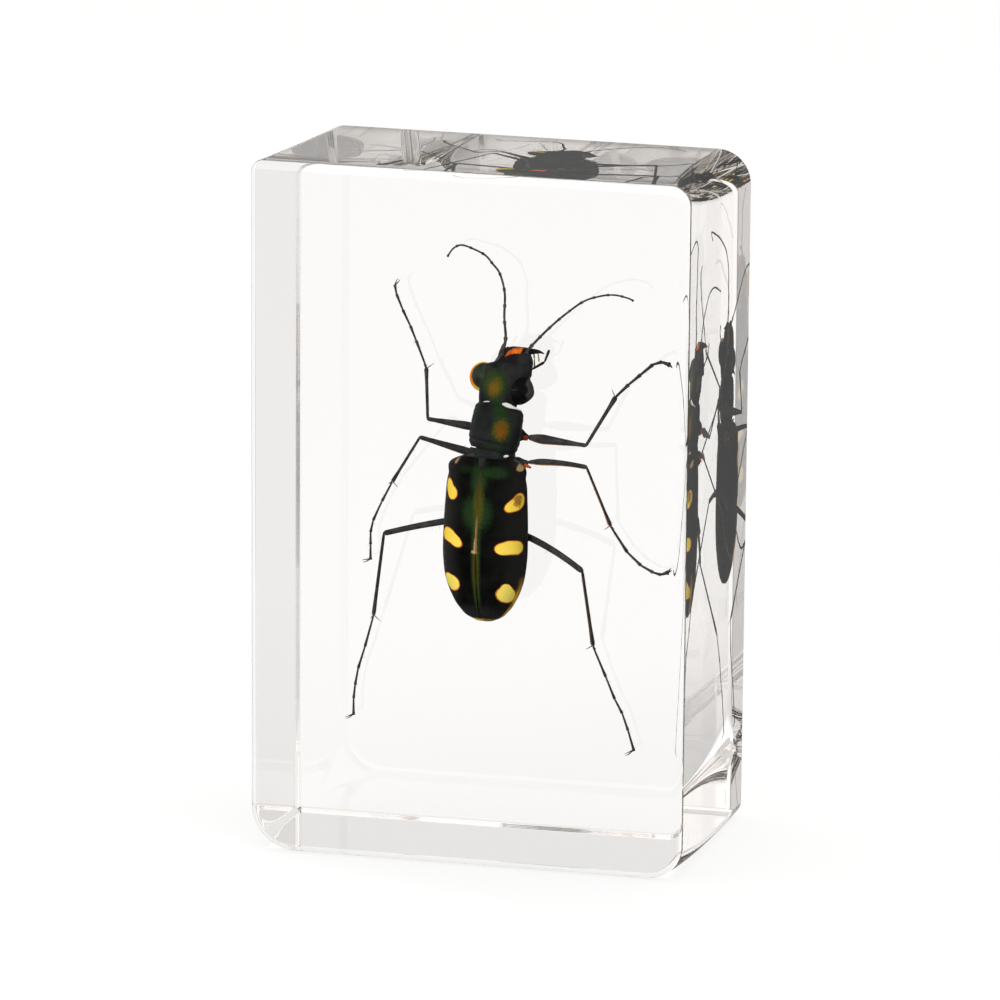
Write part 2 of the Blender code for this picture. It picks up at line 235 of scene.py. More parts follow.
# ---- Resin block -------------------------------------------------------------------------
# One casting of clear polyester resin, ground flat and polished by hand. Its front edges are
# softly rounded and its rear ones barely, and each corner was rounded to its own degree.
RESIN_INDEX = 1.57
RESIN_TINT = (0.9, 0.87, 0.83)
RESIN_DENSITY = 8.0
FRONT_EDGE = 0.7
REAR_EDGE = 0.35
FRONT_CORNERS = {"lower_left": 2.9, "lower_right": 2.2, "upper_right": 1.2, "upper_left": 0.8}
REAR_CORNERS = {"lower_left": 0.4, "lower_right": 1.0, "upper_right": 2.2, "upper_left": 1.1}
CORNER_STEPS = 24
EDGE_STEPS = 8
SIDE_STEPS = 40
FRONT_FACE, REAR_FACE = block_low[1] / MM, back_high[1] / MM
# The polished top falls a little to the right.
TOP_FALL = 0.45


def block_ring(y, inset, tilt=None):
    """The block's outline at one depth, with the way that each of its points faces."""
    half = block_high[0] / MM
    length = REAR_FACE - FRONT_FACE - FRONT_EDGE - REAR_EDGE
    left = 1 - min(max((y - FRONT_FACE - FRONT_EDGE) / length, 0), 1)
    ring = []
    for name, side, top, first_angle in (
        ("lower_left", -1, 0, 180), ("lower_right", 1, 0, 270),
        ("upper_right", 1, 1, 0), ("upper_left", -1, 1, 90),
    ):
        more = FRONT_CORNERS[name] - REAR_CORNERS[name]
        radius = REAR_CORNERS[name] + more * left**3
        tall = block_high[2] / MM - (TOP_FALL if side > 0 else 0)
        middle = Vector((side * (half - radius), y, tall - radius if top else radius))
        for step in range(CORNER_STEPS + 1):
            angle = math.radians(first_angle + 90 * step / CORNER_STEPS)
            outward = Vector((math.cos(angle), 0, math.sin(angle)))
            spread = abs(outward.x) + abs(outward.z) - 1
            fall = TOP_FALL / (2 * half) * outward.z if top else 0
            slope = Vector((fall, -3 * left**2 * more / length * spread, 0))
            point = middle + outward * (radius - inset)
            ring.append((point, outward + slope + (tilt or Vector())))
    return ring


def make_block():
    """The whole block: rings of its outline from the front face to the rear one."""
    rings = []
    for face, inward, edge in ((FRONT_FACE, 1, FRONT_EDGE), (REAR_FACE, -1, REAR_EDGE)):
        ends = []
        for step in range(EDGE_STEPS):
            turn = math.radians(90 * step / EDGE_STEPS)
            tilt = Vector((0, -inward / max(math.tan(turn), 1e-4), 0))
            depth = face + inward * edge * (1 - math.cos(turn))
            ends.append(block_ring(depth, edge * (1 - math.sin(turn)), tilt))
        if inward > 0:
            run = np.linspace(FRONT_FACE + FRONT_EDGE, REAR_FACE - REAR_EDGE, SIDE_STEPS + 1)
            rings = ends + [block_ring(y, 0) for y in run]
        else:
            rings += ends[::-1]
    count = len(rings[0])
    points = [point * MM for ring in rings for point, normal in ring]
    normals = [normal.normalized() for ring in rings for point, normal in ring]
    faces = []
    for low in range(len(rings) - 1):
        for i in range(count):
            j = (i + 1) % count
            a, b = low * count, (low + 1) * count
            faces.append((a + i, b + i, b + j, a + j))
    faces.append(tuple(range(count)))
    faces.append(tuple((len(rings) - 1) * count + i for i in range(count))[::-1])
    mesh = bpy.data.meshes.new("resin_block")
    mesh.from_pydata(points, [], faces)
    mesh.shade_smooth()
    mesh.normals_split_custom_set_from_vertices(normals)
    return put_in("resin_block", mesh)


resin = bpy.data.materials.new("clear_resin")
resin.use_nodes = True
nodes, links = resin.node_tree.nodes, resin.node_tree.links
resin_shader = nodes["Principled BSDF"]
resin_shader.inputs["Base Color"].default_value = (1, 1, 1, 1)
resin_shader.inputs["Roughness"].default_value = 0.0
resin_shader.inputs["IOR"].default_value = RESIN_INDEX
resin_shader.inputs["Transmission Weight"].default_value = 1.0
resin_depth = nodes.new("ShaderNodeVolumeAbsorption")
resin_depth.inputs["Color"].default_value = (*RESIN_TINT, 1)
resin_depth.inputs["Density"].default_value = RESIN_DENSITY
lets_light = nodes.new("ShaderNodeBsdfTransparent")
ray = nodes.new("ShaderNodeLightPath")
surface = nodes.new("ShaderNodeMixShader")
links.new(ray.outputs["Is Shadow Ray"], surface.inputs["Fac"])
links.new(resin_shader.outputs["BSDF"], surface.inputs[1])
links.new(lets_light.outputs["BSDF"], surface.inputs[2])
links.new(surface.outputs["Shader"], nodes["Material Output"].inputs["Surface"])
links.new(resin_depth.outputs["Volume"], nodes["Material Output"].inputs["Volume"])

block = make_block()
block.data.materials.append(resin)
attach(block, "root")
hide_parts("resin_front_half", "resin_back_half")

# ---- Trunk -------------------------------------------------------------------------------
# The beetle's body under its wing cases: hind thorax and belly in one dark, hard skin with
# a groove between each two belly plates. It hangs head up, its back towards the front face.
# Each station is the distance along, the half width, the rise in front, the drop behind.
HIND_BODY = (
    (0.0, 1.5, 0.9, 1.2), (0.3, 2.2, 1.35, 1.7), (1.3, 2.55, 1.85, 1.95), (2.9, 2.7, 2.1, 2.0),
    (4.7, 2.77, 2.2, 1.95), (6.7, 2.75, 2.15, 1.75), (8.0, 2.55, 1.95, 1.5),
    (9.0, 2.17, 1.6, 1.2), (9.9, 1.6, 1.15, 0.85), (10.4, 1.05, 0.7, 0.5),
    (10.65, 0.5, 0.3, 0.25),
)
TRUNK_LENGTH, TRUNK_RINGS, TRUNK_SIDES = 10.6, 140, 56
UNDER_CASES = (0.97, 0.86)
WAIST = ((0.0, 1.37, 1.0, 1.5), (0.8, 1.32, 0.9, 1.4), (1.6, 1.22, 0.75, 1.0))
WAIST_LENGTH, WAIST_RINGS, WAIST_SIDES = 1.6, 24, 36
BELLY_GROOVES = (3.6, 5.1, 6.4, 7.6, 8.6, 9.4)
GROOVE_WIDTH = 0.07
GROOVE_DEPTH = 0.06
SQUARENESS = 2.2
SKIN_SPECULAR = 0.01
PITS_PER_METRE = 9000
GRAIN_FINER = 1.7
CLOUD_COARSER = 0.12
GRAIN_HEIGHT = 0.35
CLOUD_TONES = (0.35, 0.65)
GLOSS_RANGE = (-0.06, 0.08)


def placed(start, lean, pitch, roll):
    """The frame of a body section that runs along its own +Z with its back towards -Y."""
    leaned = Matrix.Rotation(math.radians(lean), 4, "Y")
    turned = leaned @ Matrix.Rotation(math.radians(-pitch), 4, "X")
    return Matrix.Translation(start) @ turned @ Matrix.Rotation(math.radians(-roll), 4, "Z")


hind_place = placed((-0.5, 3.2, 24.75), 181.4, 2.0, -8.0)
waist_place = placed((-0.23, 3.8, 24.0), 4.0, 3.0, 8.0)


def girth(stations, along):
    """Half width, rise and drop at a distance along, read smoothly between stations."""
    table = np.array(stations)
    runs, sizes = table[:, 0], table[:, 1:]
    slopes = np.gradient(sizes, runs, axis=0)
    i = int(np.clip(np.searchsorted(runs, along) - 1, 0, len(runs) - 2))
    gap = runs[i + 1] - runs[i]
    t = (along - runs[i]) / gap
    start = (2 * t**3 - 3 * t**2 + 1) * sizes[i] + (t**3 - 2 * t**2 + t) * gap * slopes[i]
    end = (3 * t**2 - 2 * t**3) * sizes[i + 1] + (t**3 - t**2) * gap * slopes[i + 1]
    return start + end


def oval(half_width, rise, drop, turn):
    """A point of a slightly squared oval; turn is 0 on the back and grows to the +X side."""
    side, up = math.sin(turn), math.cos(turn)
    x = math.copysign(abs(side) ** (2 / SQUARENESS), side) * half_width
    y = -math.copysign(abs(up) ** (2 / SQUARENESS), up) * (rise if up > 0 else drop)
    return x, y


def dip(value, middle, width):
    """A soft hollow or ridge: 1 in its middle, and next to nothing past twice its width."""
    return math.exp(-(((value - middle) / width) ** 2))


def skin(name, rows, marks=None):
    """A closed smooth skin over rows of points in millimetres, with a map of marks if given."""
    count = len(rows[0])
    points = [Vector(point) * MM for row in rows for point in row]
    faces = []
    for low in range(0, (len(rows) - 1) * count, count):
        for i in range(count):
            j = (i + 1) % count
            faces.append((low + i, low + j, low + count + j, low + count + i))
    faces.append(tuple(range(count))[::-1])
    faces.append(tuple(range(len(points) - count, len(points))))
    mesh = bpy.data.meshes.new(name)
    mesh.from_pydata(points, [], faces)
    if marks:
        flat = [mark for row in marks for mark in row]
        place_map = mesh.uv_layers.new(name="marks")
        for loop in mesh.loops:
            place_map.data[loop.index].uv = flat[loop.vertex_index]
    build = bmesh.new()
    build.from_mesh(mesh)
    bmesh.ops.recalc_face_normals(build, faces=build.faces)
    build.to_mesh(mesh)
    build.free()
    mesh.shade_smooth()
    return put_in(name, mesh)


def one_piece(name, parts):
    """Puts several closed skins in one object, as one piece of the beetle."""
    build = bmesh.new()
    for part in parts:
        build.from_mesh(part.data)
        bpy.data.objects.remove(part, do_unlink=True)
    mesh = bpy.data.meshes.new(name)
    build.to_mesh(mesh)
    build.free()
    mesh.shade_smooth()
    return put_in(name, mesh)


def of_the_beetle(piece, material):
    """Gives a piece its finish and makes it part of the beetle."""
    piece.data.materials.clear()
    piece.data.materials.append(material)
    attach(piece, "root")
    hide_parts("tiger_beetle")


def trunk_row(along):
    """Round the hind body at a distance from its front, under the wing cases."""
    half_width, rise, drop = girth(HIND_BODY, along)
    groove = max(dip(along, place, GROOVE_WIDTH) for place in BELLY_GROOVES)
    row = []
    for k in range(TRUNK_SIDES):
        turn = math.tau * k / TRUNK_SIDES
        sunk = 1 - GROOVE_DEPTH * groove * max(-math.cos(turn), 0.0)
        x, y = oval(half_width * UNDER_CASES[0], rise * UNDER_CASES[1], drop * sunk, turn)
        row.append(hind_place @ Vector((x, y, along)))
    return row


def waist_row(along):
    """Round the waist, which joins the hind body to the shield."""
    half_width, rise, drop = girth(WAIST, along)
    turns = [math.tau * k / WAIST_SIDES for k in range(WAIST_SIDES)]
    return [waist_place @ Vector((*oval(half_width, rise, drop, turn), along)) for turn in turns]


def shared_group(name, places, numbers, results):
    """A shader group that takes places and numbers and gives numbers, with its two ends."""
    group = bpy.data.node_groups.new(name, "ShaderNodeTree")
    for way, kind, labels in (
        ("INPUT", "Vector", places), ("INPUT", "Float", numbers), ("OUTPUT", "Float", results),
    ):
        for label in labels:
            group.interface.new_socket(label, in_out=way, socket_type="NodeSocket" + kind)
    ends = group.nodes.new("NodeGroupInput"), group.nodes.new("NodeGroupOutput")
    return group, ends[0].outputs, ends[1].inputs


def puncture_group():
    """Fine pits and grain of beetle skin: its height, its soft clouds and its pits."""
    group, given, result = shared_group(
        "skin_grain", ("Place",), ("Pits per metre", "Pit size"), ("Height", "Tone", "Pit")
    )
    nodes, links = group.nodes, group.links
    pits = nodes.new("ShaderNodeTexVoronoi")
    grain = nodes.new("ShaderNodeTexNoise")
    cloud = nodes.new("ShaderNodeTexNoise")
    edge = nodes.new("ShaderNodeMapRange")
    grain.inputs["Detail"].default_value = 4.0
    cloud.inputs["Detail"].default_value = 3.0
    per_metre = given["Pits per metre"]
    for texture, scale in (
        (pits, per_metre),
        (grain, worked(group, "MULTIPLY", per_metre, GRAIN_FINER)),
        (cloud, worked(group, "MULTIPLY", per_metre, CLOUD_COARSER)),
    ):
        links.new(given["Place"], texture.inputs["Vector"])
        links.new(scale, texture.inputs["Scale"])
    links.new(pits.outputs["Distance"], edge.inputs["Value"])
    links.new(given["Pit size"], edge.inputs["From Max"])
    level = edge.outputs["Result"]
    height = worked(group, "MULTIPLY_ADD", grain.outputs["Fac"], GRAIN_HEIGHT, level)
    links.new(height, result["Height"])
    links.new(cloud.outputs["Fac"], result["Tone"])
    links.new(worked(group, "SUBTRACT", 1.0, level), result["Pit"])
    return group


skin_grain = puncture_group()


def layer(tree, mask, under, over):
    """A colour laid over another through a mask; either may be a value or a socket."""
    mix = tree.nodes.new("ShaderNodeMix")
    mix.data_type = "RGBA"
    tree.links.new(mask, mix.inputs["Factor"])
    for socket, colour in ((mix.inputs[6], under), (mix.inputs[7], over)):
        if isinstance(colour, tuple):
            socket.default_value = (*colour, 1)
        else:
            tree.links.new(colour, socket)
    return mix.outputs[2]


def hard_skin(name, dark, light, gloss, pit_size=0.3, relief=0.003, pits=PITS_PER_METRE):
    """Beetle skin: two close tones in soft clouds, with a fine pitted relief in millimetres."""
    material = bpy.data.materials.new(name)
    material.use_nodes = True
    tree = material.node_tree
    shader = tree.nodes["Principled BSDF"]
    shader.inputs["Specular IOR Level"].default_value = SKIN_SPECULAR
    place = tree.nodes.new("ShaderNodeTexCoord")
    grain = tree.nodes.new("ShaderNodeGroup")
    grain.node_tree = skin_grain
    grain.inputs["Pits per metre"].default_value = pits
    grain.inputs["Pit size"].default_value = pit_size
    tree.links.new(place.outputs["Object"], grain.inputs["Place"])
    tone = eased(tree, grain.outputs["Tone"], *CLOUD_TONES, 0, 1, "LINEAR")
    rough = [gloss + more for more in GLOSS_RANGE]
    sheen = eased(tree, grain.outputs["Tone"], 0, 1, *rough, "LINEAR")
    tree.links.new(sheen, shader.inputs["Roughness"])
    bump = tree.nodes.new("ShaderNodeBump")
    bump.inputs["Distance"].default_value = relief * MM
    tree.links.new(grain.outputs["Height"], bump.inputs["Height"])
    tree.links.new(bump.outputs["Normal"], shader.inputs["Normal"])
    tree.links.new(layer(tree, tone, dark, light), shader.inputs["Base Color"])
    return material


BELLY_DARK, BELLY_LIGHT = (0.012, 0.013, 0.013), (0.022, 0.026, 0.024)
belly_black = hard_skin("belly_black", BELLY_DARK, BELLY_LIGHT, 0.36, relief=0.004)
trunk_runs = np.linspace(0.0, TRUNK_LENGTH, TRUNK_RINGS)
waist_runs = np.linspace(0.0, WAIST_LENGTH, WAIST_RINGS)
trunk = skin("trunk", [trunk_row(along) for along in trunk_runs])
waist = skin("waist", [waist_row(along) for along in waist_runs])
of_the_beetle(one_piece("trunk", [trunk, waist]), belly_black)

# ---- Wing cases --------------------------------------------------------------------------
# Two hard covers that meet in a fine seam down the back. They are black with a green and
# bronze bloom along the seam and three yellow spots each; the colour is in the skin itself,
# and so is painted light that makes the outer part of each case lighter, the left one most.
CASE_LENGTH, CASE_RINGS, ACROSS_STEPS = 10.65, 170, 44
CASE_THICKNESS = 0.12
CASE_WRAP = 97
CROWDED_TO_SEAM = 1.25
SEAM_HALF_GAP = 0.012
SEAM_ROUND, SEAM_ROUND_REACH = 0.09, 0.05
MARGIN_BEAD, MARGIN_AT, MARGIN_WIDTH = 0.05, 88, 0.07
CASE_DROP = 0.6
CASE_DARK, CASE_LIGHT = (0.0008, 0.0008, 0.0008), (0.004, 0.0042, 0.004)
# Painted light: the outer part of each case is lighter, the left case more than the right.
CASE_OUTER_PAINTED_LIGHT = {1: (0.024, 0.024, 0.023), -1: (0.013, 0.013, 0.012)}
OUTER_LIGHT_BEGINS = (0.8, 3.4)
SPOT_YELLOW = (0.88, 0.63, 0.075)
SPOT_PALE = (0.90, 0.74, 0.13)
SPOT_RIM = (0.60, 0.15, 0.012)
GREEN = (0.012, 0.031, 0.009)
OLIVE = (0.062, 0.058, 0.006)
# Each spot is one to three ovals that run into each other. Places are millimetres from the
# seam, positive on the left case, and from the front of the case: middle, half size, turn.
SPOTS = {
    1: (
        (((1.98, 2.3), (0.5, 0.46), 0), ((2.3, 1.95), (0.58, 0.42), 58)),
        (
            ((2.3, 5.0), (0.62, 0.46), 0), ((1.62, 5.26), (0.72, 0.4), 26),
            ((2.0, 5.05), (0.55, 0.42), 20),
        ),
        (((1.85, 8.15), (0.68, 0.56), 0), ((2.25, 7.95), (0.5, 0.42), 0)),
    ),
    -1: (
        (
            ((-2.88, 2.48), (0.54, 0.52), 0), ((-2.35, 2.78), (0.62, 0.38), -25),
            ((-2.6, 2.7), (0.5, 0.42), 0),
        ),
        (
            ((-1.8, 5.56), (0.58, 0.4), 0), ((-2.75, 5.48), (0.66, 0.46), 0),
            ((-2.25, 5.46), (0.7, 0.46), 0),
        ),
        (((-2.0, 8.62), (0.76, 0.58), 0), ((-2.0, 8.2), (0.4, 0.36), 0)),
    ),
}
SPOT_MELT = 0.5
SPOTS_PALER = (4.5, 8.0)
SPOT_PITS = 0.35
SPOT_SOFT_EDGE, SPOT_RIM_EDGE = (0.84, 0.94), (0.93, 1.05)
STAIN = (0.28, 0.12, 0.014)
STAIN_MIDDLE, STAIN_HALF_SIZE = (-2.75, 2.45), (0.46, 0.52)
# The bloom in layers: tint, middle, half size, strength, width of the soft edge, raggedness.
BLOOM = (
    (GREEN, (0, 5.4), (0.42, 6.2), 0.8, 0.5, 0.3),
    (GREEN, (0, 3.35), (1.35, 1.5), 1.0, 0.65, 0.5),
    (GREEN, (0, 1.2), (0.75, 1.5), 0.8, 0.6, 0.5),
    ((0.014, 0.014, 0.014), (0, 10.1), (2.4, 0.9), 0.8, 0.7, 1.0),
    (GREEN, (-1.05, 0.75), (1.15, 0.5), 0.75, 0.6, 0.7),
    (GREEN, (0.9, 0.7), (0.8, 0.4), 0.35, 0.8, 0.5),
    (OLIVE, (-0.08, 2.9), (0.5, 2.2), 0.9, 0.8, 0.8),
    (OLIVE, (0, 6.9), (0.3, 3.6), 0.6, 0.7, 0.5),
    ((0.13, 0.09, 0.03), (0, 2.2), (0.06, 2.6), 0.7, 0.5, 0.6),
    ((0.36, 0.22, 0.10), (0, 4.6), (0.09, 1.5), 0.9, 0.5, 0.8),
    ((0.42, 0.25, 0.12), (0.05, 5.5), (0.13, 0.6), 0.9, 0.5, 0.8),
    ((0.48, 0.28, 0.13), (0.1, 5.88), (0.24, 0.16), 0.9, 0.5, 0.8),
    ((0.045, 0.012, 0.004), (0, 7.0), (0.1, 0.9), 0.9, 0.4, 0.3),
    ((0.002, 0.002, 0.002), (0, 9.3), (0.07, 1.7), 0.9, 0.4, 0.2),
    ((0.45, 0.30, 0.15), (-2.75, 0.43), (0.46, 0.24), 0.9, 0.4, 0.3),
    ((0.40, 0.27, 0.14), (1.95, 0.3), (0.2, 0.22), 0.8, 0.5, 0.3),
)
# The yellow rim: its share of the way round the case, and where it and the tip's rim begin.
RIM_FROM, RIM_TO = (0.77, 0.06), (0.93, 0.05)
RIM_STARTS, TIP_STARTS = (7.4, 1.5), (10.4, 0.12)
RIM_YELLOW = (0.85, 0.45, 0.04)
RIM_SPECKLE = (0.38, 0.5, 0.35, 1)
EDGE_WANDER = 6.0


def case_row(side, along):
    """Round one wing case at a distance along it, with its place in the map of marks."""
    half_width, rise, _ = girth(HIND_BODY, along)
    row, marks = [], []
    arc, last = 0.0, None
    for k in range(ACROSS_STEPS + 1):
        turn = math.radians(CASE_WRAP * (k / ACROSS_STEPS) ** CROWDED_TO_SEAM)
        x, y = oval(half_width, rise, rise * CASE_DROP, turn)
        x += SEAM_HALF_GAP + MARGIN_BEAD * dip(turn, math.radians(MARGIN_AT), MARGIN_WIDTH)
        y += SEAM_ROUND * math.exp(-x / SEAM_ROUND_REACH)
        if last:
            arc += math.hypot(x - last[0], y - last[1])
        last = (x, y)
        row.append((side * x, y, along))
        marks.append((side * arc, along))
    inner = 1 - CASE_THICKNESS / max(half_width, 0.3)
    for (x, y, z), mark in zip(row[::-1], marks[::-1]):
        row.append((x * inner, y * inner + 0.02, z))
        marks.append(mark)
    return [hind_place @ Vector(point) for point in row], marks


def worked_on_places(tree, kind, first, second=None):
    """One sum on one or two places, each a plain vector or a socket of the tree."""
    node = tree.nodes.new("ShaderNodeVectorMath")
    node.operation = kind
    for socket, given in zip(node.inputs, (first, second)):
        if isinstance(given, Vector):
            socket.default_value = given
        elif given:
            tree.links.new(given, socket)
    return node.outputs


def reach_group():
    """How far a place lies from the middle of an oval mark: 1 on its slightly ragged edge."""
    group, given, result = shared_group(
        "oval_reach", ("Place", "Middle", "Half size"), ("Turn", "Ragged"), ("Reach",)
    )
    nodes, links = group.nodes, group.links
    offset = worked_on_places(group, "SUBTRACT", given["Place"], given["Middle"])
    turned = nodes.new("ShaderNodeVectorRotate")
    turned.rotation_type = "Z_AXIS"
    links.new(offset[0], turned.inputs["Vector"])
    links.new(given["Turn"], turned.inputs["Angle"])
    scaled = worked_on_places(group, "DIVIDE", turned.outputs[0], given["Half size"])
    even = worked_on_places(group, "LENGTH", scaled[0])["Value"]
    noise = nodes.new("ShaderNodeTexNoise")
    noise.inputs["Scale"].default_value = EDGE_WANDER
    links.new(given["Place"], noise.inputs["Vector"])
    wander = worked(group, "SUBTRACT", noise.outputs["Fac"], 0.5)
    ragged = worked(group, "MULTIPLY_ADD", wander, given["Ragged"], even)
    links.new(ragged, result["Reach"])
    return group


oval_reach = reach_group()


def reach(tree, place, middle, half_size, turn=0.0, ragged=0.15):
    """The reach of one oval mark, sized in millimetres on the piece's map."""
    node = tree.nodes.new("ShaderNodeGroup")
    node.node_tree = oval_reach
    tree.links.new(place, node.inputs["Place"])
    node.inputs["Middle"].default_value = (*middle, 0)
    node.inputs["Half size"].default_value = (*half_size, 1)
    node.inputs["Turn"].default_value = math.radians(turn)
    node.inputs["Ragged"].default_value = ragged
    return node.outputs["Reach"]


def bloomed(tree, place, colour, patches):
    """Lays soft patches over a colour, one after another."""
    for tint, middle, half_size, strength, edge, ragged in patches:
        far = reach(tree, place, middle, half_size, ragged=ragged)
        colour = layer(tree, eased(tree, far, 1 - edge, 1, strength, 0), colour, tint)
    return colour


def skin_parts(material):
    """The tree of a skin, its shader, its base colour and its map of marks."""
    tree = material.node_tree
    shader = tree.nodes["Principled BSDF"]
    map_node = tree.nodes.new("ShaderNodeUVMap")
    map_node.uv_map = "marks"
    return tree, shader, shader.inputs["Base Color"].links[0].from_socket, map_node.outputs["UV"]


def case_skin(side):
    """Black skin painted lighter outwards, with the bloom along the seam and the yellow spots of
    one wing case.
    """
    words = "left" if side > 0 else "right"
    material = hard_skin("case_" + words, CASE_DARK, CASE_LIGHT, 0.4, 0.34, 0.004)
    tree, shader, colour, place = skin_parts(material)
    grain = tree.nodes["Group"]
    across, down, _ = axes_of(tree, place)
    aside = worked(tree, "ABSOLUTE", across, 0)
    # Painted light: the case turns lighter towards its outer edge.
    colour = layer(tree, eased(tree, aside, *OUTER_LIGHT_BEGINS, 0, 1), colour, CASE_OUTER_PAINTED_LIGHT[side])
    colour = bloomed(tree, place, colour, BLOOM)
    margin = tree.nodes.new("ShaderNodeAttribute")
    margin.attribute_name = "margin"
    speckled = eased(tree, grain.outputs["Tone"], *RIM_SPECKLE)
    on_rim = worked(tree, "MULTIPLY", margin.outputs["Fac"], speckled)
    colour = layer(tree, on_rim, colour, RIM_YELLOW)
    paler = eased(tree, down, *SPOTS_PALER, 0, 1)
    pitted = worked(tree, "MULTIPLY", grain.outputs["Pit"], SPOT_PITS)
    yellow = layer(tree, pitted, layer(tree, paler, SPOT_YELLOW, SPOT_PALE), SPOT_RIM)
    if side < 0:
        far = reach(tree, place, STAIN_MIDDLE, STAIN_HALF_SIZE, ragged=1.2)
        yellow = layer(tree, eased(tree, far, 0.5, 1, 0.9, 0), yellow, STAIN)
    for ovals in SPOTS[side]:
        far = None
        for middle, half_size, turn in ovals:
            next_far = reach(tree, place, middle, half_size, turn)
            far = worked(tree, "SMOOTH_MIN", far, next_far, SPOT_MELT) if far else next_far
        colour = layer(tree, eased(tree, far, *SPOT_RIM_EDGE, 1, 0), colour, SPOT_RIM)
        colour = layer(tree, eased(tree, far, *SPOT_SOFT_EDGE, 1, 0), colour, yellow)
    tree.links.new(colour, shader.inputs["Base Color"])
    return material


def rim_marks(case, runs):
    """Marks the rear part of the outer margin, and the tip, for the yellow rim."""
    margin = case.data.attributes.new("margin", "FLOAT", "POINT")
    around = range(ACROSS_STEPS + 1)
    outer = []
    for share in [k / ACROSS_STEPS for k in (*around, *around[::-1])]:
        begun = np.clip((share - RIM_FROM[0]) / RIM_FROM[1], 0, 1)
        outer.append(begun * np.clip((RIM_TO[0] - share) / RIM_TO[1], 0, 1))
    for i, along in enumerate(runs):
        rear, tip = [np.clip((along - at) / over, 0, 1) for at, over in (RIM_STARTS, TIP_STARTS)]
        for k, near in enumerate(outer):
            margin.data[i * len(outer) + k].value = max(near * rear, tip)


for side, name in ((1, "left"), (-1, "right")):
    runs = np.linspace(0.0, CASE_LENGTH, CASE_RINGS)
    rows = [case_row(side, along) for along in runs]
    case = skin("wing_case_" + name, *zip(*rows))
    rim_marks(case, runs)
    of_the_beetle(case, case_skin(side))

# ---- Pronotum ----------------------------------------------------------------------------
# The shield over the front of the thorax, nearly square, with a groove across it behind
# its front edge and another before its rear edge, and a green and bronze bloom near the
# middle that is partly its own metallic colour and partly painted reflection. Its left
# side is painted lighter, where the light falls on it.
SHIELD = (
    (0.0, 1.42, 1.0, 1.1), (0.3, 1.6, 1.2, 1.25), (1.1, 1.66, 1.3, 1.35),
    (2.0, 1.64, 1.25, 1.3), (2.7, 1.54, 1.05, 1.15), (2.9, 1.36, 0.85, 0.95),
)
SHIELD_LENGTH, SHIELD_RINGS = 2.9, 70
SHIELD_GROOVES = ((0.48, 0.11, 0.13), (2.42, 0.1, 0.1))
SHIELD_KEEL, SHIELD_KEEL_WIDTH = 0.035, 0.07
# Painted light: the shield's left side is painted grey, lighter, as if lit from the left.
SHIELD_PAINTED_LIGHT = (0.040, 0.042, 0.042)
LIT_TO_UNLIT = (-2.0, -0.7)
SECTION_SIDES = 72
shield_place = placed((-0.35, 3.9, 25.1), 9.0, 5.0, 10.0)


def section(place, along, sizes, carved, swing=0.0):
    """Round a body section, carved on its back, with its place in the map of marks."""
    outline = []
    for k in range(SECTION_SIDES):
        turn = math.tau * k / SECTION_SIDES - math.pi
        x, y = oval(*sizes, turn)
        outline.append((x, carved(x, y, abs(turn))))
    steps = [math.dist(a, b) for a, b in zip(outline, outline[1:])]
    arcs = np.concatenate([[0.0], np.cumsum(steps)])
    marks = [(arc - arcs[SECTION_SIDES // 2], along) for arc in arcs]
    return [place @ Vector((x + swing, y, along)) for x, y in outline], marks


def shield_row(along):
    """Round the shield at a distance from its rear edge, with a fine line down its back."""
    half_width, rise, drop = girth(SHIELD, along)
    sunk = sum(depth * dip(along, place, width) for place, width, depth in SHIELD_GROOVES)

    def carved(x, y, from_back):
        return y + SHIELD_KEEL * dip(x, 0.0, SHIELD_KEEL_WIDTH) if from_back < 1.2 else y

    return section(shield_place, along, (half_width - sunk * 0.4, rise - sunk, drop), carved)


# Partly the skin's own green and bronze, partly painted reflection: the bloom sits off the middle,
# where the metallic sheen catches the light.
SHIELD_BLOOM_AND_REFLECTION = (
    (GREEN, (0.75, 1.5), (0.85, 1.2), 0.9, 0.45, 0.5),
    (GREEN, (0.4, 2.6), (0.7, 0.6), 0.9, 0.6, 0.5),
    (GREEN, (0.4, 0.2), (1.2, 0.25), 0.6, 0.6, 0.5),
    (OLIVE, (0.75, 1.45), (0.68, 0.9), 0.8, 0.5, 0.8),
    ((0.11, 0.052, 0.007), (0.75, 1.45), (0.56, 0.74), 0.85, 0.5, 1.2),
    ((0.20, 0.045, 0.006), (0.77, 1.25), (0.3, 0.45), 0.7, 0.8, 1.6),
)
SHIELD_DARK, SHIELD_LIGHT = (0.009, 0.010, 0.010), (0.019, 0.020, 0.020)
shield_skin = hard_skin("shield_black", SHIELD_DARK, SHIELD_LIGHT, 0.42, 0.36, 0.006)
tree, shader, colour, place = skin_parts(shield_skin)
# Painted light on the shield's left side.
lit_side = eased(tree, axes_of(tree, place)[0], *LIT_TO_UNLIT, 0.9, 0)
colour = layer(tree, lit_side, colour, SHIELD_PAINTED_LIGHT)
tree.links.new(bloomed(tree, place, colour, SHIELD_BLOOM_AND_REFLECTION), shader.inputs["Base Color"])
rows = [shield_row(along) for along in np.linspace(0.0, SHIELD_LENGTH, SHIELD_RINGS)]
of_the_beetle(skin("pronotum", *zip(*rows)), shield_skin)

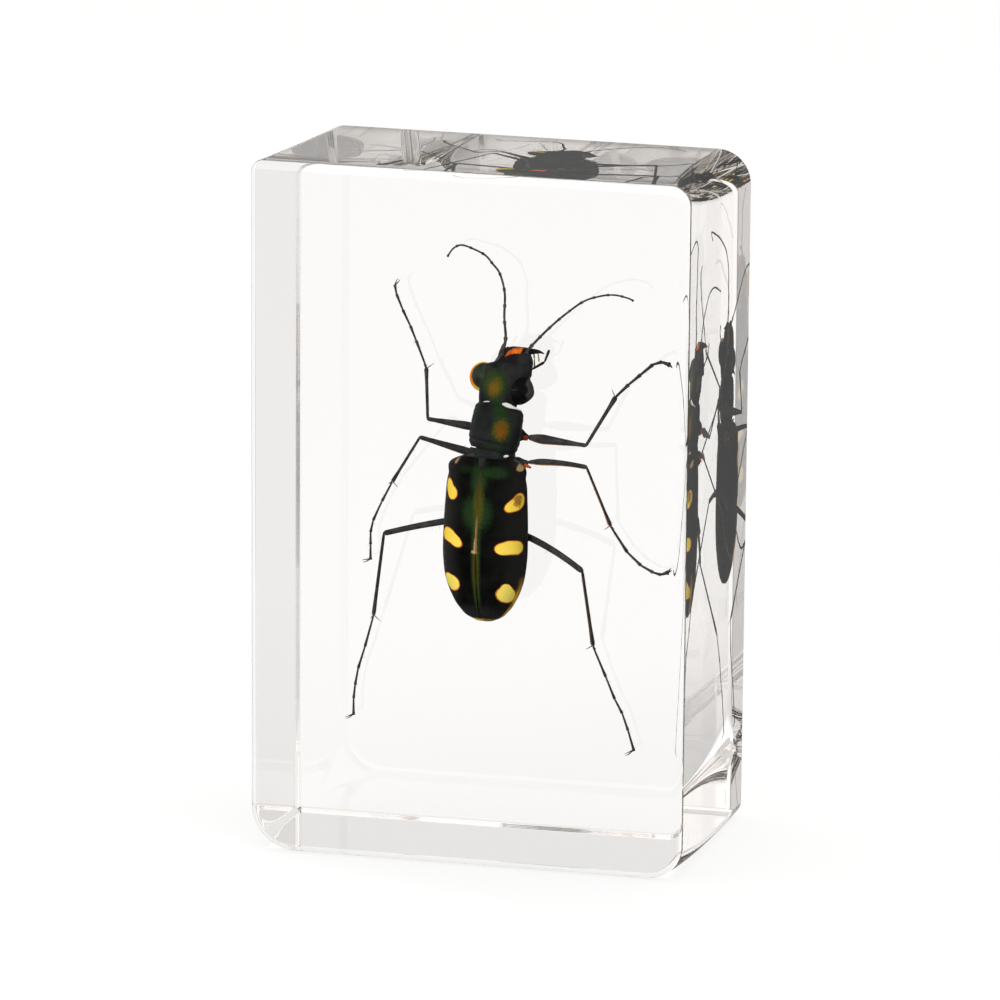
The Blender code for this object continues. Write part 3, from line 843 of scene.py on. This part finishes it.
# ---- Head --------------------------------------------------------------------------------
# The head is turned a little to the right. It is broadest at the eyes, hollowed between
# them, and narrows to the mouth. Its skin has a green and bronze bloom on the brow.
HEAD = (
    (0.0, 1.15, 0.75, 0.85), (0.6, 1.3, 1.0, 1.1), (1.4, 1.45, 1.1, 1.2),
    (2.3, 1.52, 1.0, 1.15),
    (2.65, 1.45, 0.92, 1.05), (2.9, 1.25, 0.82, 1.0), (3.2, 1.18, 0.7, 0.9),
    (3.7, 1.05, 0.5, 0.75),
    (4.0, 0.85, 0.25, 0.45),
)
HEAD_LENGTH, HEAD_RINGS = 4.0, 90
MOUTH_SWING, SWING_AT = 0.41, 2.65
# The brow's hollow and the groove before the mouth: depth, place along, half width and length.
HEAD_HOLLOWS = ((0.16, 1.9, 0.75, 0.7), (0.07, 3.05, 0.8, 0.1))
head_place = placed((-0.25, 4.3, 27.75), 16.0, 6.0, 16.0)


def head_row(along):
    """Round the head at a distance from its rear; it swings aside towards the mouth."""
    swing = MOUTH_SWING / (1 + math.exp(-(along - SWING_AT) / 0.1))

    def carved(x, y, from_back):
        if from_back < 1.4:
            for depth, place, wide, long in HEAD_HOLLOWS:
                y += depth * dip(x, 0.0, wide) * dip(along, place, long)
        return y

    return section(head_place, along, girth(HEAD, along), carved, swing)


HEAD_BLOOM = (
    (GREEN, (-0.1, 1.5), (1.15, 1.2), 0.9, 0.5, 0.6),
    (GREEN, (0.5, 0.35), (0.6, 0.6), 0.9, 0.6, 0.5),
    ((0.026, 0.040, 0.014), (-0.5, 1.6), (0.8, 0.9), 0.9, 0.6, 0.9),
    (OLIVE, (0.0, 1.3), (0.72, 0.95), 0.9, 0.6, 0.8),
    ((0.12, 0.07, 0.008), (-0.05, 1.25), (0.5, 0.6), 0.9, 0.7, 1.2),
)
HEAD_DARK, HEAD_LIGHT = (0.009, 0.009, 0.009), (0.021, 0.021, 0.021)
head_skin = hard_skin("head_black", HEAD_DARK, HEAD_LIGHT, 0.42, 0.36, 0.006)
tree, shader, colour, place = skin_parts(head_skin)
tree.links.new(bloomed(tree, place, colour, HEAD_BLOOM), shader.inputs["Base Color"])
rows = [head_row(along) for along in np.linspace(0.0, HEAD_LENGTH, HEAD_RINGS)]
of_the_beetle(skin("head", *zip(*rows)), head_skin)

# ---- Eyes --------------------------------------------------------------------------------
# Two large bulging eyes, black and finely faceted. The left one is tinged green and shows
# an orange rim round its outer side; the right one has a painted grey highlight where it
# faces outwards and to the front.
EYE_ALONG = 1.65
EYE_ASIDE = 1.42
EYE_RADII = (0.85, 0.82, 0.95)
EYE_FACETS = 15000
EYE_RINGS, EYE_SIDES = 33, 64
EYE_TONES = {
    -1: ((0.014, 0.017, 0.013), (0.034, 0.046, 0.030)),
    1: ((0.002, 0.002, 0.002), (0.005, 0.005, 0.005)),
}
EYE_RIM = (0.78, 0.24, 0.02)
EYE_RIM_PALE = (0.95, 0.60, 0.05)
# Where the rim turns pale, how far it frays, and where it ends: away from the front, on
# either side of its middle, and towards the rear.
RIM_PALER, RIM_FRAY = (0.15, 0.4), 0.2
RIM_FRONT, RIM_ARC_MIDDLE, RIM_ARC, RIM_REAR = (0.5, 0.72), 0.1, (0.5, 0.62), (-0.4, -0.15)
# Painted highlight on the right eye, where it faces outwards and towards the lens.
EYE_PAINTED_HIGHLIGHT = (0.045, 0.045, 0.044)
HIGHLIGHT_ASIDE, HIGHLIGHT_FRONT = (0.25, 0.4), (0.86, 0.95)
RIGHT_EYE_NARROWER = 0.4


def eye(name, side):
    """One eye; its map holds how far a place looks to the front, and its turn from outwards."""
    centre = head_place @ Vector((side * EYE_ASIDE, -0.1, EYE_ALONG))
    turn = head_place.to_3x3()
    rows, marks = [], []
    for ring in range(EYE_RINGS):
        fall = math.pi * (ring + 0.15) / (EYE_RINGS - 0.7)
        row, row_marks = [], []
        for k in range(EYE_SIDES):
            spin = math.tau * k / EYE_SIDES
            out, wide = side * math.cos(fall), math.sin(fall)
            point = Vector((out, wide * math.cos(spin), wide * math.sin(spin)))
            if side > 0:
                point.z *= 1 - RIGHT_EYE_NARROWER * max(point.x, 0) ** 2
            offset = turn @ Vector([a * b for a, b in zip(point, EYE_RADII)])
            row.append(centre + offset)
            faces = offset.normalized()
            from_outwards = math.atan2(faces.dot(above), faces.dot(right) * side) / math.pi
            row_marks.append((faces.dot(to_lens), from_outwards))
        rows.append(row)
        marks.append(row_marks)
    return skin(name, rows, marks)


for side, name in ((-1, "left"), (1, "right")):
    material = hard_skin("eye_" + name, *EYE_TONES[side], 0.24, 0.5, 0.003, EYE_FACETS)
    tree, shader, colour, place = skin_parts(material)
    to_front, round_it, _ = axes_of(tree, place)
    grain = tree.nodes["Group"]
    aside = worked(tree, "ABSOLUTE", round_it, 0)
    if side < 0:
        tint = layer(tree, eased(tree, aside, *RIM_PALER, 0, 1), EYE_RIM, EYE_RIM_PALE)
        frayed = worked(tree, "MULTIPLY_ADD", grain.outputs["Height"], RIM_FRAY, to_front)
        on_rim = eased(tree, frayed, *RIM_FRONT, 1, 0)
        from_middle = worked(tree, "SUBTRACT", round_it, RIM_ARC_MIDDLE)
        off_middle = worked(tree, "ABSOLUTE", from_middle, 0)
        on_arc = worked(tree, "MULTIPLY", on_rim, eased(tree, off_middle, *RIM_ARC, 1, 0))
        mask = worked(tree, "MULTIPLY", on_arc, eased(tree, to_front, *RIM_REAR, 0, 1))
    else:
        # Painted highlight: grey where the eye faces outwards and to the front.
        tint = EYE_PAINTED_HIGHLIGHT
        outward = eased(tree, aside, *HIGHLIGHT_ASIDE, 1, 0)
        mask = worked(tree, "MULTIPLY", outward, eased(tree, to_front, *HIGHLIGHT_FRONT, 1, 0))
    tree.links.new(layer(tree, mask, colour, tint), shader.inputs["Base Color"])
    of_the_beetle(eye("eye_" + name, side), material)

# ---- Legs --------------------------------------------------------------------------------
# Six long thin legs, hollow tubes of the same hard skin, jointed end to end: a spindle-shaped
# thigh, a straight shin with two spurs, a foot of five joints and a pair of claws. They are
# black with a rust tone below, and swell or narrow along each joint as the real ones do.
CLAW_SPREAD = 0.08
# Places in millimetres from the middle of the block's base: hip, second joint, knee, ankle,
# foot joints, tip of the claws.
LEGS = {
    "fore_right": (
        (0.6, 4.9, 26.2), (1.7, 5.2, 25.9), (5.7, 4.2, 25.7), (7.3, 6.2, 28.7),
        (8.1, 6.2, 29.5), (8.9, 5.9, 30.2), (9.7, 5.8, 30.9), (10.3, 5.6, 31.12),
        (10.85, 5.3, 31.0), (11.05, 5.2, 30.85),
    ),
    "mid_right": (
        (0.5, 4.8, 24.1), (1.7, 5.2, 24.28), (6.0, 2.6, 24.5), (6.9, 7.2, 20.2),
        (8.0, 7.2, 18.6), (8.9, 7.2, 17.8), (9.7, 7.2, 17.4), (10.2, 7.1, 17.3),
        (10.7, 6.9, 17.5), (10.95, 6.8, 17.75),
    ),
    "hind_right": (
        (0.3, 4.6, 20.3), (1.9, 4.9, 19.38), (5.9, 1.9, 17.9), (5.9, 6.8, 12.4),
        (6.7, 7.2, 10.4), (7.3, 7.2, 9.0), (7.8, 7.2, 8.1), (8.2, 7.2, 7.0), (8.6, 7.2, 5.7),
        (8.0, 7.2, 5.4),
    ),
    "fore_left": (
        (-0.9, 4.9, 26.3), (-2.0, 5.2, 26.4), (-4.4, 2.8, 27.0), (-5.1, 6.2, 29.9),
        (-5.8, 6.3, 31.6), (-6.2, 6.4, 32.5), (-6.7, 6.4, 33.5), (-7.1, 6.3, 34.5),
        (-7.2, 6.2, 35.1), (-6.9, 6.1, 35.5),
    ),
    "mid_left": (
        (-0.9, 4.9, 24.3), (-2.0, 5.2, 24.9), (-4.9, 2.8, 25.8), (-7.4, 6.6, 22.3),
        (-8.1, 6.8, 21.0), (-8.7, 6.9, 19.7), (-8.9, 7.1, 18.9), (-8.9, 7.1, 18.1),
        (-8.9, 7.1, 17.1), (-9.4, 6.9, 17.0),
    ),
    "hind_left": (
        (-1.2, 4.6, 20.8), (-3.1, 4.9, 20.2), (-7.3, 3.1, 19.4), (-8.6, 6.6, 13.5),
        (-9.2, 6.8, 11.4), (-9.7, 7.1, 9.9), (-9.9, 7.1, 8.8), (-10.0, 7.1, 7.9),
        (-10.0, 7.1, 6.8), (-10.5, 6.9, 6.6),
    ),
}
# The radii of thigh, knee, shin, ankle, foot and last foot joint.
LEG_RADII = {
    "fore_right": (0.33, 0.14, 0.105, 0.175, 0.1, 0.13),
    "mid_right": (0.225, 0.155, 0.085, 0.15, 0.092, 0.12),
    "hind_right": (0.225, 0.195, 0.1, 0.16, 0.078, 0.08),
    "fore_left": (0.275, 0.14, 0.095, 0.15, 0.08, 0.08),
    "mid_left": (0.265, 0.15, 0.085, 0.14, 0.078, 0.08),
    "hind_left": (0.22, 0.185, 0.1, 0.145, 0.078, 0.08),
}
# Some thighs bow; the two whose second joint stands clear of the body begin with a narrow neck.
THIGH_BOW = {"hind_right": (0.1, 0, 0.17), "mid_right": (0, 0, 0.13), "hind_left": (0, 0, 0.08)}
NECKED = ("fore_right", "mid_right")
# Each spur leans so far along the shin and inwards, and has a length and a thickness.
SPURS = ((0.55, 0.85, 0.62, 0.036), (0.85, -0.5, 0.34, 0.05))
LEG_DARK, LEG_LIGHT = (0.022, 0.022, 0.022), (0.050, 0.049, 0.049)
RUST = (0.50, 0.20, 0.04)
RUST_FACES, RUST_EDGE = (-0.35, -0.1, -0.93), (0.72, 0.88)
LEAST_RADIUS = 0.004
ROUNDED_END = 0.04


def along_joints(joints, steps):
    """A smooth path through the joints, with so many steps from each to the next."""
    joints = [Vector(joint) for joint in joints]
    ends = [joints[0] * 2 - joints[1], *joints, joints[-1] * 2 - joints[-2]]
    path = []
    for i in range(1, len(ends) - 2):
        a, b, c, d = ends[i - 1 : i + 3]
        for step in range(steps):
            t = step / steps
            point = b * 2 + (c - a) * t
            point += (a * 2 - b * 5 + c * 4 - d) * t**2
            point += (b * 3 - a - c * 3 + d) * t**3
            path.append(point / 2)
    return [*path, joints[-1]]


def tube(name, path, radii, sides=10):
    """A closed round skin along a path, with its own radius at each point."""
    path = [Vector(point) for point in path]
    steps = [(b - a).normalized() for a, b in zip(path, path[1:])]
    across = steps[0].orthogonal().normalized()
    rows = []
    for i, (point, radius) in enumerate(zip(path, radii)):
        along = (steps[max(i - 1, 0)] + steps[min(i, len(steps) - 1)]).normalized()
        across = (across - along * across.dot(along)).normalized()
        beside = along.cross(across)
        turns = [math.tau * k / sides for k in range(sides)]
        ways = [across * math.cos(turn) + beside * math.sin(turn) for turn in turns]
        rows.append([point + way * radius for way in ways])
    return skin(name, rows)


def swollen(low, high, shape, steps=14, sides=12, bow=(0, 0, 0)):
    """One joint of a limb from low to high; shape gives the radius at each share of it."""
    low, high = Vector(low), Vector(high)
    shares = [0.5 - 0.5 * math.cos(math.pi * k / steps) for k in range(steps + 1)]
    path = [low.lerp(high, share) + Vector(bow) * 4 * share * (1 - share) for share in shares]
    return tube("joint", path, [max(shape(share), LEAST_RADIUS) for share in shares], sides)


def shaped(*stops):
    """A radius that runs through stops of share and radius, rounded off at both ends."""
    shares, radii = zip(*stops)

    def radius(share):
        from_end = max(min(share, 1 - share), 0.0)
        round_off = min(1.0, (from_end / ROUNDED_END) ** 0.5)
        return float(np.interp(share, shares, radii)) * round_off

    return radius


def leg(name, joints):
    """One leg from hip to claws; the hip reaches a little into the thigh, and so on down."""
    thick, knee_girth, shin_girth, ankle_girth, foot_girth, last_girth = LEG_RADII[name]
    hip, second, knee, ankle, *foot = [Vector(joint) for joint in joints]
    toes, claw_tip = [ankle, *foot[:-1]], foot[-1]
    shin = (ankle - knee).normalized()
    thigh = (knee - second).normalized()
    if name in NECKED:
        thigh_start = second
        base = ((0, thick * 0.36), (0.055, thick * 0.56), (0.17, thick * 0.88), (0.26, thick))
        hip_shape = shaped((0, 0.55), (0.6, 0.42), (0.8, 0.24), (1, 0.13))
    else:
        thigh_start = second.lerp(hip, 0.5)
        base = ((0, thick * 0.9), (0.26, thick))
        hip_shape = shaped((0, 0.6), (0.5, 0.5), (0.85, thick * 0.9), (1, thick * 0.8))
    thigh_shape = shaped(*base, (0.85, knee_girth), (1, knee_girth))
    shin_shape = shaped(
        (0, shin_girth * 1.2), (0.05, shin_girth), (0.75, shin_girth * 1.15),
        (0.97, ankle_girth), (1, ankle_girth * 0.9),
    )
    bow = THIGH_BOW.get(name, (0, 0, 0))
    parts = [
        swollen(hip, second.lerp(knee, 0.03), hip_shape),
        swollen(thigh_start, knee + thigh * 0.08, thigh_shape, 28, 14, bow),
        swollen(knee - shin * 0.06, ankle + shin * 0.03, shin_shape, 20),
    ]
    for low, high in zip(toes, toes[1:]):
        girth_here = last_girth if high is toes[-1] else foot_girth
        toe_shape = shaped(
            (0, foot_girth * 0.75), (0.75, girth_here),
            (0.95, girth_here * 1.35), (1, girth_here * 1.2),
        )
        parts.append(swollen(low.lerp(high, -0.03), high.lerp(low, -0.02), toe_shape))
    sideways = shin.cross(claw_tip - toes[-1]).normalized()
    for side in (-1, 1):
        tip = claw_tip + sideways * CLAW_SPREAD * side
        middle = toes[-1].lerp(tip, 0.6) + sideways * CLAW_SPREAD * 0.35 * side
        hook = along_joints((toes[-1].lerp(toes[-2], 0.06), middle, tip), 6)
        parts.append(tube("claw", hook, np.linspace(last_girth * 0.6, 0.012, len(hook)), 8))
    inward = Vector((math.copysign(1, -hip.x), 0, 0))
    inward = (inward - shin * inward.dot(shin)).normalized()
    for forth, aside, length, thickness in SPURS:
        spur_end = ankle + (shin * forth + inward * aside) * length
        spur_shape = shaped((0, thickness), (0.6, thickness * 0.7), (1, 0.01))
        parts.append(swollen(ankle - shin * 0.1, spur_end, spur_shape, 8, 8))
    return one_piece("leg_" + name, parts)


leg_skin = hard_skin("leg_black", LEG_DARK, LEG_LIGHT, 0.38, relief=0.004, pits=11000)
tree = leg_skin.node_tree
shader = tree.nodes["Principled BSDF"]
colour = shader.inputs["Base Color"].links[0].from_socket
facing = tree.nodes.new("ShaderNodeNewGeometry")
rust_way = Vector(RUST_FACES).normalized()
lower = worked_on_places(tree, "DOT_PRODUCT", facing.outputs["Normal"], rust_way)["Value"]
below = eased(tree, lower, *RUST_EDGE, 0, 1, "LINEAR")
tree.links.new(layer(tree, below, colour, RUST), shader.inputs["Base Color"])
for name, joints in LEGS.items():
    of_the_beetle(leg(name, joints), leg_skin)

# ---- Second joints of the legs -----------------------------------------------------------
# The small joint between hip and thigh has the same hard skin, but in rust red. It stands clear
# of the body only on the two right front legs: inner end, outer end, radii along it.
JOINT_TONES = ((0.20, 0.03, 0.01), (0.85, 0.17, 0.02))
SECOND_JOINTS = (
    ((1.32, 4.95, 25.93), (1.8, 5.05, 25.84), (0.13, 0.2, 0.15)),
    ((1.35, 4.95, 24.22), (2.05, 4.85, 23.98), (0.12, 0.13, 0.06)),
)
joint_red = hard_skin("joint_red", *JOINT_TONES, 0.4)
knuckles = []
for inner, outer, girths in SECOND_JOINTS:
    knuckles.append(swollen(inner, outer, shaped(*zip((0, 0.5, 1), girths)), 12, 16))
of_the_beetle(one_piece("leg_second_joints", knuckles), joint_red)

# ---- Feelers -----------------------------------------------------------------------------
# Two thin feelers that grow on the head before the eyes. They have eleven joints each, the
# first one stout, and every joint is a little thicker at its far end.
FEELERS = {
    "left": (
        (-0.3, 4.6, 30.4), (0.0, 4.45, 31.0), (0.2, 4.4, 31.4), (0.4, 4.3, 32.3),
        (0.3, 4.3, 33.6), (0.3, 4.4, 35.1),
        (-0.1, 4.8, 36.3), (-0.7, 5.3, 36.9), (-1.2, 5.8, 37.3), (-2.0, 6.3, 37.6),
        (-2.9, 6.7, 37.8), (-3.4, 6.4, 37.6), (-3.7, 5.8, 37.1),
    ),
    "right": (
        (1.5, 4.6, 30.3), (1.7, 4.6, 30.9), (1.8, 4.6, 31.5), (2.5, 4.2, 32.3),
        (3.4, 3.9, 33.2), (4.3, 3.8, 34.0), (5.5, 3.7, 34.9),
        (6.6, 3.7, 35.3), (7.5, 3.8, 35.4), (8.3, 4.2, 35.2), (8.6, 4.6, 35.0),
    ),
}
FEELER_RADIUS = 0.078
FEELER_JOINTS = 11
FEELER_TONES = ((0.028, 0.027, 0.026), (0.07, 0.066, 0.062))


def feeler(name, joints):
    """One feeler along its joints, thinner towards its tip and closed there."""
    path = along_joints(joints, 14)
    runs = np.cumsum([0.0] + [(b - a).length for a, b in zip(path, path[1:])])
    shares = runs / runs[-1]
    radii = []
    for share in shares:
        way = share * FEELER_JOINTS
        within = way - math.floor(way)
        stout = 1.0 + 2.0 * math.exp(-way / 0.75)
        knot = 1.0 + 0.55 * dip(within, 0.93, 0.1) - 0.2 * dip(within, 0.03, 0.05)
        closed = 1.0 if share < 0.995 else 0.4
        radii.append(FEELER_RADIUS * stout * knot * (1.1 - 0.4 * share) * closed)
    return tube(name, path, radii, 10)


feeler_skin = hard_skin("feeler_black", *FEELER_TONES, 0.5, relief=0.002, pits=12000)
for name, joints in FEELERS.items():
    of_the_beetle(feeler("feeler_" + name, joints), feeler_skin)

# ---- Mouth -------------------------------------------------------------------------------
# An orange upper lip over two crossed black jaws, each with three small teeth. Jointed palps
# hang beside them, two of them brown and two pale, all of the same hard skin.
LIP_TONES = ((0.35, 0.035, 0.008), (0.85, 0.22, 0.025))
JAW_TONES = ((0.014, 0.014, 0.014), (0.03, 0.03, 0.03))
BROWN_TONES = ((0.025, 0.016, 0.012), (0.07, 0.035, 0.022))
PALE_TONES = ((0.40, 0.29, 0.18), (0.60, 0.47, 0.33))
lip_orange = hard_skin("lip_orange", *LIP_TONES, 0.36, 0.4, 0.006)
jaw_black = hard_skin("jaw_black", *JAW_TONES, 0.32)
palp_brown = hard_skin("palp_brown", *BROWN_TONES, 0.42)
palp_pale = hard_skin("palp_pale", *PALE_TONES, 0.42)
LIP_MIDDLE = 0.17
LIP_HALF_WIDTH = 0.56
LIP_LENGTH = 0.44
LIP_SLANT = 0.4
LIP_STEPS = 12
LIP_FRONT, LIP_BOW = 4.0, 0.12
LIP_CROWN, LIP_DOMED, LIP_SINKS = -0.66, 0.22, 0.18
LIP_TOOTH = 0.035
# Round the lip from its root: the share of its length and the height above its crown.
LIP_SECTION = (
    (0, 0.0), (0.3, 0.03), (0.7, 0.02), (1.0, -0.08), (1.0, -0.16), (0.5, -0.14), (0, -0.12),
)


def lip():
    """The upper lip in sections from side to side, its slanting front edge finely toothed."""
    rows = []
    for k in range(2 * LIP_STEPS + 1):
        across = k / LIP_STEPS - 1
        tooth = LIP_TOOTH * (1 + math.cos(across * math.pi * 5)) * (1 - across**2)
        front = LIP_FRONT - LIP_BOW * across**2 + tooth + LIP_SLANT * across
        aside = LIP_MIDDLE + across * LIP_HALF_WIDTH
        crown = LIP_CROWN + LIP_DOMED * across**2
        row = []
        for share, lift in LIP_SECTION:
            along = front - LIP_LENGTH * (1 - share)
            row.append(head_place @ Vector((aside, crown - lift + LIP_SINKS * share, along)))
        rows.append(row)
    return skin("upper_lip", rows)


of_the_beetle(lip(), lip_orange)
JAWS = (
    (
        (0.14, 4.9, 30.3), (0.3, 4.9, 30.95), (0.7, 4.9, 31.3), (1.42, 5.0, 31.38),
        (1.97, 5.2, 31.4), (2.39, 5.4, 31.38), (2.7, 5.6, 31.25),
    ),
    (
        (1.47, 5.2, 29.5), (1.51, 5.1, 30.3), (1.52, 5.0, 30.8), (1.4, 5.0, 31.2),
        (1.1, 5.1, 31.35), (0.65, 5.3, 31.4), (0.29, 5.5, 31.35),
    ),
)
JAW_SHARES, JAW_GIRTHS = (0, 0.35, 0.65, 1), (0.42, 0.38, 0.2, 0.03)
# The teeth on the inner side of each jaw: the share of the way along it, and the length.
JAW_TEETH = ((0.45, 0.2), (0.6, 0.16), (0.72, 0.12))
TEETH_POINT_TO, TOOTH_ROOT = (1.3, 5.7, 31.2), 0.12
tooth_shape = shaped((0, 0.09), (0.6, 0.05), (1, 0.01))
jaws = []
for joints in JAWS:
    path = along_joints(joints, 8)
    girths = np.interp(np.linspace(0, 1, len(path)), JAW_SHARES, JAW_GIRTHS)
    jaws.append(tube("jaw", path, girths, 14))
    for share, length in JAW_TEETH:
        root = path[int(share * len(path))]
        inward = (Vector(TEETH_POINT_TO) - root).normalized()
        jaws.append(swollen(root, root + inward * (length + TOOTH_ROOT), tooth_shape, 8, 8))
of_the_beetle(one_piece("jaws", jaws), jaw_black)
DARK_PALPS = (
    ((1.6, 5.2, 29.9), (1.9, 5.6, 30.2), (2.7, 5.8, 30.7), (3.0, 5.8, 31.5)),
    ((0.1, 5.3, 30.1), (-0.2, 5.8, 30.5), (-0.3, 6.1, 31.1), (0.0, 6.2, 31.7)),
)
PALE_PALPS = (
    ((1.7, 5.3, 31.2), (2.05, 5.6, 31.45), (2.3, 5.7, 31.2), (2.35, 5.7, 30.7)),
    ((1.75, 5.4, 31.2), (2.0, 5.7, 31.3), (2.05, 5.7, 30.9), (2.05, 5.75, 30.2)),
)
palp_shape = shaped((0, 0.06), (0.8, 0.095), (1, 0.07))
for name, palps, material, slim in (
    ("palps_dark", DARK_PALPS, palp_brown, 1.0),
    ("palps_pale", PALE_PALPS, palp_pale, 0.6),
):
    joints = []
    for palp in palps:
        for low, high in zip(palp, palp[1:]):
            joints.append(swollen(low, high, lambda share: palp_shape(share) * slim, 10, 10))
    of_the_beetle(one_piece(name, joints), material)

# ---- Soft joints of the body -------------------------------------------------------------
# Pale dried membrane shows in the gap between head and shield, and as a speck before the
# wing cases; the small dark triangle before the seam is the scutellum.
MEMBRANE_TONES = ((0.60, 0.57, 0.53), (0.80, 0.78, 0.74))
membrane = hard_skin("membrane", *MEMBRANE_TONES, 0.5, 0.4, 0.004, 7000)
GAPS = (
    (
        (0.44, 3.0, 28.2), (0.68, 2.95, 28.16), (0.94, 2.95, 28.08), (1.26, 3.0, 27.97),
        (1.49, 3.15, 27.87), (1.67, 3.4, 27.75),
    ),
    ((-0.85, 3.3, 28.23), (-0.63, 3.2, 28.28), (-0.42, 3.1, 28.29)),
    ((0.6, 2.7, 24.86), (0.75, 2.7, 24.9), (0.91, 2.72, 24.94)),
)
GAP_GIRTHS = ((0.06, 0.15, 0.14, 0.07, 0.03, 0.015), (0.02, 0.04, 0.03), (0.05, 0.09, 0.05))
folds = []
for joints, girths in zip(GAPS, GAP_GIRTHS):
    path = along_joints(joints, 8)
    radii = np.interp(np.linspace(0, 1, len(path)), np.linspace(0, 1, len(girths)), girths)
    folds.append(tube("fold", path, radii, 12))
of_the_beetle(one_piece("body_membrane", folds), membrane)
PLATE_CORNERS = ((-0.32, -1.0, -0.1), (0.32, -1.0, -0.1), (0.0, -1.75, 0.7))
PLATE_LIFTS = (0.0, 0.12, 0.16)
corners = [hind_place @ Vector(corner) for corner in PLATE_CORNERS]
middle = sum(corners, Vector()) / 3
plate_rows = []
for lift in PLATE_LIFTS:
    raised = Vector((0, -lift, 0))
    plate_rows.append([corner.lerp(middle, lift * 1.5) + raised for corner in corners])
of_the_beetle(skin("scutellum", plate_rows), belly_black)

# ---- Bristles ----------------------------------------------------------------------------
# Short stiff hairs of the same dark skin, which grow out of thighs, shins and feet at random
# places, each of its own length and leaning its own way.
BRISTLE_LENGTH = 0.3
BRISTLE_RADIUS = 0.011
BRISTLES_PER_SQUARE_METRE = 6.5e6
BRISTLE_SEED = 7
BRISTLE_LEAN = 0.5
BRISTLE_SHORTEST, BRISTLE_LONGEST = 0.45, 1.0
BRISTLE_TONES = ((0.03, 0.03, 0.03), (0.06, 0.06, 0.055))


def bristle_tree(material):
    """Grows bristles on a mesh; also gives the values of its named inputs by identifier."""
    tree = bpy.data.node_groups.new("bristles", "GeometryNodeTree")
    face = tree.interface
    face.new_socket("Geometry", in_out="INPUT", socket_type="NodeSocketGeometry")
    length = face.new_socket("Length", in_out="INPUT", socket_type="NodeSocketFloat")
    radius = face.new_socket("Radius", in_out="INPUT", socket_type="NodeSocketFloat")
    density = face.new_socket("Density", in_out="INPUT", socket_type="NodeSocketFloat")
    face.new_socket("Geometry", in_out="OUTPUT", socket_type="NodeSocketGeometry")
    nodes, links = tree.nodes, tree.links
    given, result = nodes.new("NodeGroupInput"), nodes.new("NodeGroupOutput")
    scatter = nodes.new("GeometryNodeDistributePointsOnFaces")
    scatter.inputs["Seed"].default_value = BRISTLE_SEED
    cone = nodes.new("GeometryNodeMeshCone")
    cone.inputs["Vertices"].default_value = 4
    cone.inputs["Radius Top"].default_value = 0.0
    lean = nodes.new("FunctionNodeRandomValue")
    lean.data_type = "FLOAT_VECTOR"
    lean.inputs[0].default_value = (-BRISTLE_LEAN,) * 3
    lean.inputs[1].default_value = (BRISTLE_LEAN,) * 3
    turned = nodes.new("FunctionNodeRotateRotation")
    size = nodes.new("FunctionNodeRandomValue")
    size.inputs[2].default_value = BRISTLE_SHORTEST
    size.inputs[3].default_value = BRISTLE_LONGEST
    place = nodes.new("GeometryNodeInstanceOnPoints")
    real = nodes.new("GeometryNodeRealizeInstances")
    dressed = nodes.new("GeometryNodeSetMaterial")
    dressed.inputs["Material"].default_value = material
    links.new(given.outputs["Geometry"], scatter.inputs["Mesh"])
    links.new(given.outputs["Density"], scatter.inputs["Density"])
    links.new(given.outputs["Radius"], cone.inputs["Radius Bottom"])
    links.new(given.outputs["Length"], cone.inputs["Depth"])
    links.new(scatter.outputs["Points"], place.inputs["Points"])
    links.new(scatter.outputs["Rotation"], turned.inputs["Rotation"])
    links.new(lean.outputs[0], turned.inputs["Rotate By"])
    links.new(turned.outputs[0], place.inputs["Rotation"])
    links.new(size.outputs[1], place.inputs["Scale"])
    links.new(cone.outputs["Mesh"], place.inputs["Instance"])
    links.new(place.outputs["Instances"], real.inputs["Geometry"])
    links.new(real.outputs["Geometry"], dressed.inputs["Geometry"])
    links.new(dressed.outputs["Geometry"], result.inputs["Geometry"])
    values = {
        length.identifier: BRISTLE_LENGTH * MM,
        radius.identifier: BRISTLE_RADIUS * MM,
        density.identifier: BRISTLES_PER_SQUARE_METRE,
    }
    return tree, values


def shins_and_feet():
    """The stretch of every leg that carries bristles, as bare tubes just under its skin."""
    parts = []
    for joints in LEGS.values():
        second, knee, *rest = [Vector(joint) for joint in joints[1:]]
        parts.append(tube("stretch", (second.lerp(knee, 0.15), knee), (0.12, 0.08), 6))
        parts.append(tube("stretch", (knee, *rest[:-1]), [0.07] * len(rest), 6))
    return one_piece("bristle_ground", parts)


bristle_black = hard_skin("bristle_black", *BRISTLE_TONES, 0.45, relief=0.001)
ground = shins_and_feet()
growth = ground.modifiers.new("bristles", "NODES")
growth.node_group, values = bristle_tree(bristle_black)
for identifier, value in values.items():
    growth[identifier] = value
bpy.context.view_layer.update()
worked_out = ground.evaluated_get(bpy.context.evaluated_depsgraph_get())
grown = bpy.data.meshes.new_from_object(worked_out)
bpy.data.objects.remove(ground, do_unlink=True)
grown.name = "leg_bristles"
of_the_beetle(put_in("leg_bristles", grown), bristle_black)
